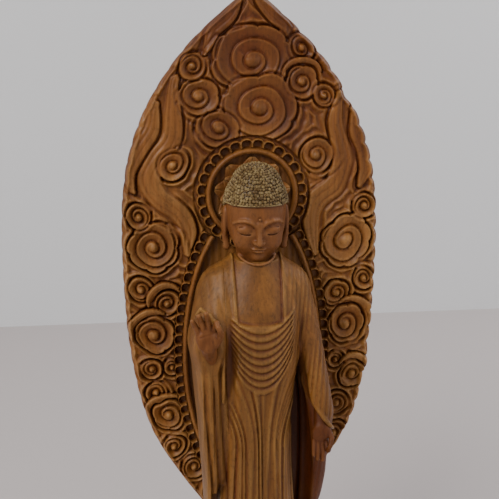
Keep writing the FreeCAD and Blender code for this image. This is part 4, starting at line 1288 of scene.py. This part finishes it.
def turned_pieces():
    """The collar, the ribbed drum and the downturned lotus under the seat."""
    def collar(i, a):
        return np.full(len(a), [19.2, 19.9, 20.0, 19.9, 19.2][i])

    low, high = COLLAR_FOOT + 0.05, COLLAR_TOP - 0.05
    item = lathe("collar", collar, [low, low + 0.35, (low + high) / 2, high - 0.35, high])
    finish_piece(item, THRONE, "wood_pedestal", "throne", "waist_collar")

    def drum(i, a):
        t = i / (drum_steps - 1)
        base = 15.3 + 1.7 * math.sin(t * math.pi) ** 0.6
        return base + 0.55 * np.abs(np.cos(a * 8)) ** 0.6 * math.sin(t * math.pi)

    drum_steps = 15
    item = lathe("drum", drum, np.linspace(COLLAR_TOP + CLEAR, SEAT_FOOT - CLEAR, drum_steps), 384)
    finish_piece(item, THRONE, "wood_pedestal", "throne", "waist_drum")

    def down_petals(i, a):
        t = i / (lotus_steps - 1)
        base = np.interp(t, [0, 0.10, 0.30, 0.62, 0.88, 1.0], [36.2, 37.3, 36.2, 30.0, 23.6, 20.8])
        across = np.abs(2 * np.mod(a * 12 / TAU, 1.0) - 1)
        half = np.abs(2 * np.mod(a * 12 / TAU + 0.5, 1.0) - 1)
        leaf = 0.9 * (1 - across ** 2.5) * np.sin(np.clip(t * 1.15 + 0.12, 0, 1) * math.pi) ** 0.6
        rib = 0.35 * bell(across, 0.10) * math.sin(t * math.pi)
        between = 0.5 * bell(half, 0.16) * math.sin(min(t / 0.45, 1) * math.pi)
        gap = 0.9 * bell(1 - across, 0.07)
        return np.minimum(base + leaf - gap + rib + between - 0.4, 37.95)

    lotus_steps = 44
    heights = np.linspace(UPPER_PLINTH + CLEAR, COLLAR_FOOT - CLEAR, lotus_steps)
    item = lathe("turned_down_lotus", down_petals, heights, 576)
    finish_piece(item, THRONE, "wood_pedestal", "throne", "reversed_lotus")


def plinth(node, flats, foot, top):
    """An eight-sided step: bevelled edges, a moulding, and a sunk cusped panel in each side."""
    step = 0.42
    half = flats / 2
    reach = half + 1
    low, high = (-reach, -reach, foot - 0.6), (reach, reach, top + 0.6)
    p = space(low, high, step)
    x, y, z = p
    d = None
    for k in range(8):
        a = TAU * k / 8
        out = x * math.cos(a) + y * math.sin(a)
        along = -x * math.sin(a) + y * math.cos(a)
        # w goes from 0 in the middle of a side to 1 at its corners, h from 0 at the foot to 1 at the top
        w = np.abs(along) / (half * math.tan(math.pi / 8))
        h = (z - foot) / (top - foot)
        arch = 0.80 - 0.12 * (1 - np.abs(np.cos(w * 4.7)))
        sunk = step_up(0.80 - w, 0, 0.03) * step_up(h, 0.22, 0.26) * step_up(arch - h, 0, 0.05)
        mouldings = 0.5 * groove(z - (top - 1.9), 0.45) + 0.4 * groove(z - (foot + 1.6), 0.4)
        face = out - half + 0.8 * sunk + mouldings
        bevel = (out + z - half - top + 1.4) / math.sqrt(2)
        face = np.maximum(face, bevel)
        d = face if d is None else np.maximum(d, face)
    d = np.maximum(d, z - top + CLEAR)
    d = np.maximum(d, foot + CLEAR - z)
    item = solid(node + "_carved", d, low, step, FLAT_MESH)
    finish_piece(item, THRONE, "wood_pedestal", "throne", node)


def throne():
    petal_rows()
    seat()
    turned_pieces()
    plinth("plinth_upper", 86, LOWER_PLINTH, UPPER_PLINTH)
    plinth("plinth_lower", 102, 0, LOWER_PLINTH)


# ------------------------------------------------------------------ camera, light, floor


def camera():
    """Looks slightly down at the figure, from a little towards -X. Lengths here are in metres."""
    data = bpy.data.cameras.new("camera")
    data.lens = 50
    data.sensor_width = 36
    data.sensor_height = 36
    data.sensor_fit = "AUTO"
    data.dof.use_dof = False
    data.clip_start = 0.01
    item = bpy.data.objects.new("camera", data)
    turn = math.radians(-6.5)
    down = math.radians(13.35)
    away, height, aside = 0.2668, 0.2715, -0.0031
    right = Vector((math.cos(turn), math.sin(turn), 0))
    item.location = Vector((math.sin(turn) * away, -math.cos(turn) * away, height)) + right * aside
    item.rotation_euler = (math.radians(90) - down, 0, turn)
    bpy.context.scene.collection.objects.link(item)
    bpy.context.scene.camera = item


def area_light(name, place, target, size, power, colour):
    """A soft rectangular light. Lengths are in metres."""
    data = bpy.data.lights.new(name, "AREA")
    data.shape = "RECTANGLE"
    data.size, data.size_y = size
    data.energy = power
    data.color = colour
    item = bpy.data.objects.new(name, data)
    item.location = place
    item.rotation_euler = (Vector(target) - Vector(place)).to_track_quat("-Z", "Y").to_euler()
    bpy.context.scene.collection.objects.link(item)


def plain_material(name, colour, rough):
    material = bpy.data.materials.new(name)
    material.use_nodes = True
    shader = material.node_tree.nodes["Principled BSDF"]
    shader.inputs["Base Color"].default_value = (*colour, 1)
    shader.inputs["Roughness"].default_value = rough
    return material


def studio():
    """A plain floor and wall, a soft window on one side, two weak lights and an even sky."""
    wide, near, far, high = 1500, -1200, 520, 1600
    left, right = (-wide, far, 0), (wide, far, 0)
    floor = add_mesh("floor", [(-wide, near, 0), (wide, near, 0), right, left], [(0, 1, 2, 3)])
    floor.data.materials.append(plain_material("floor", srgb(192, 183, 181), 0.55))
    wall = add_mesh("wall", [left, right, (wide, far, high), (-wide, far, high)], [(0, 1, 2, 3)])
    wall.data.materials.append(plain_material("wall", srgb(221, 221, 222), 0.8))
    aim = (0, 0, 0.2)
    area_light("window", (-0.72, -0.62, 0.98), aim, (0.60, 0.60), 12.6, (1.0, 0.98, 0.95))
    area_light("fill", (0.9, -0.7, 0.5), aim, (1.0, 0.8), 2.5, (0.97, 0.98, 1.0))
    area_light("back", (0.9, 0.2, 0.9), (0.75, 0.5, 0.1), (1.0, 0.6), 6.0, (1.0, 0.99, 0.99))
    world = bpy.data.worlds.new("room")
    world.use_nodes = True
    background = world.node_tree.nodes["Background"]
    background.inputs["Color"].default_value = (0.85, 0.87, 0.9, 1)
    background.inputs["Strength"].default_value = 0.52
    bpy.context.scene.world = world


def hidden_pieces():
    """The stem, pegs, dowels and tenons keep their CAD shapes."""
    for node in ("halo_stem", "halo_stem_pegs", "plinth_dowels", "centre_dowel", "foot_tenons"):
        material = STEM if node == "halo_stem" else PEGS
        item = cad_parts[node]
        item.data.materials.clear()
        item.data.materials.append(material)


halo()
figure()
throne()
hidden_pieces()
camera()
studio()
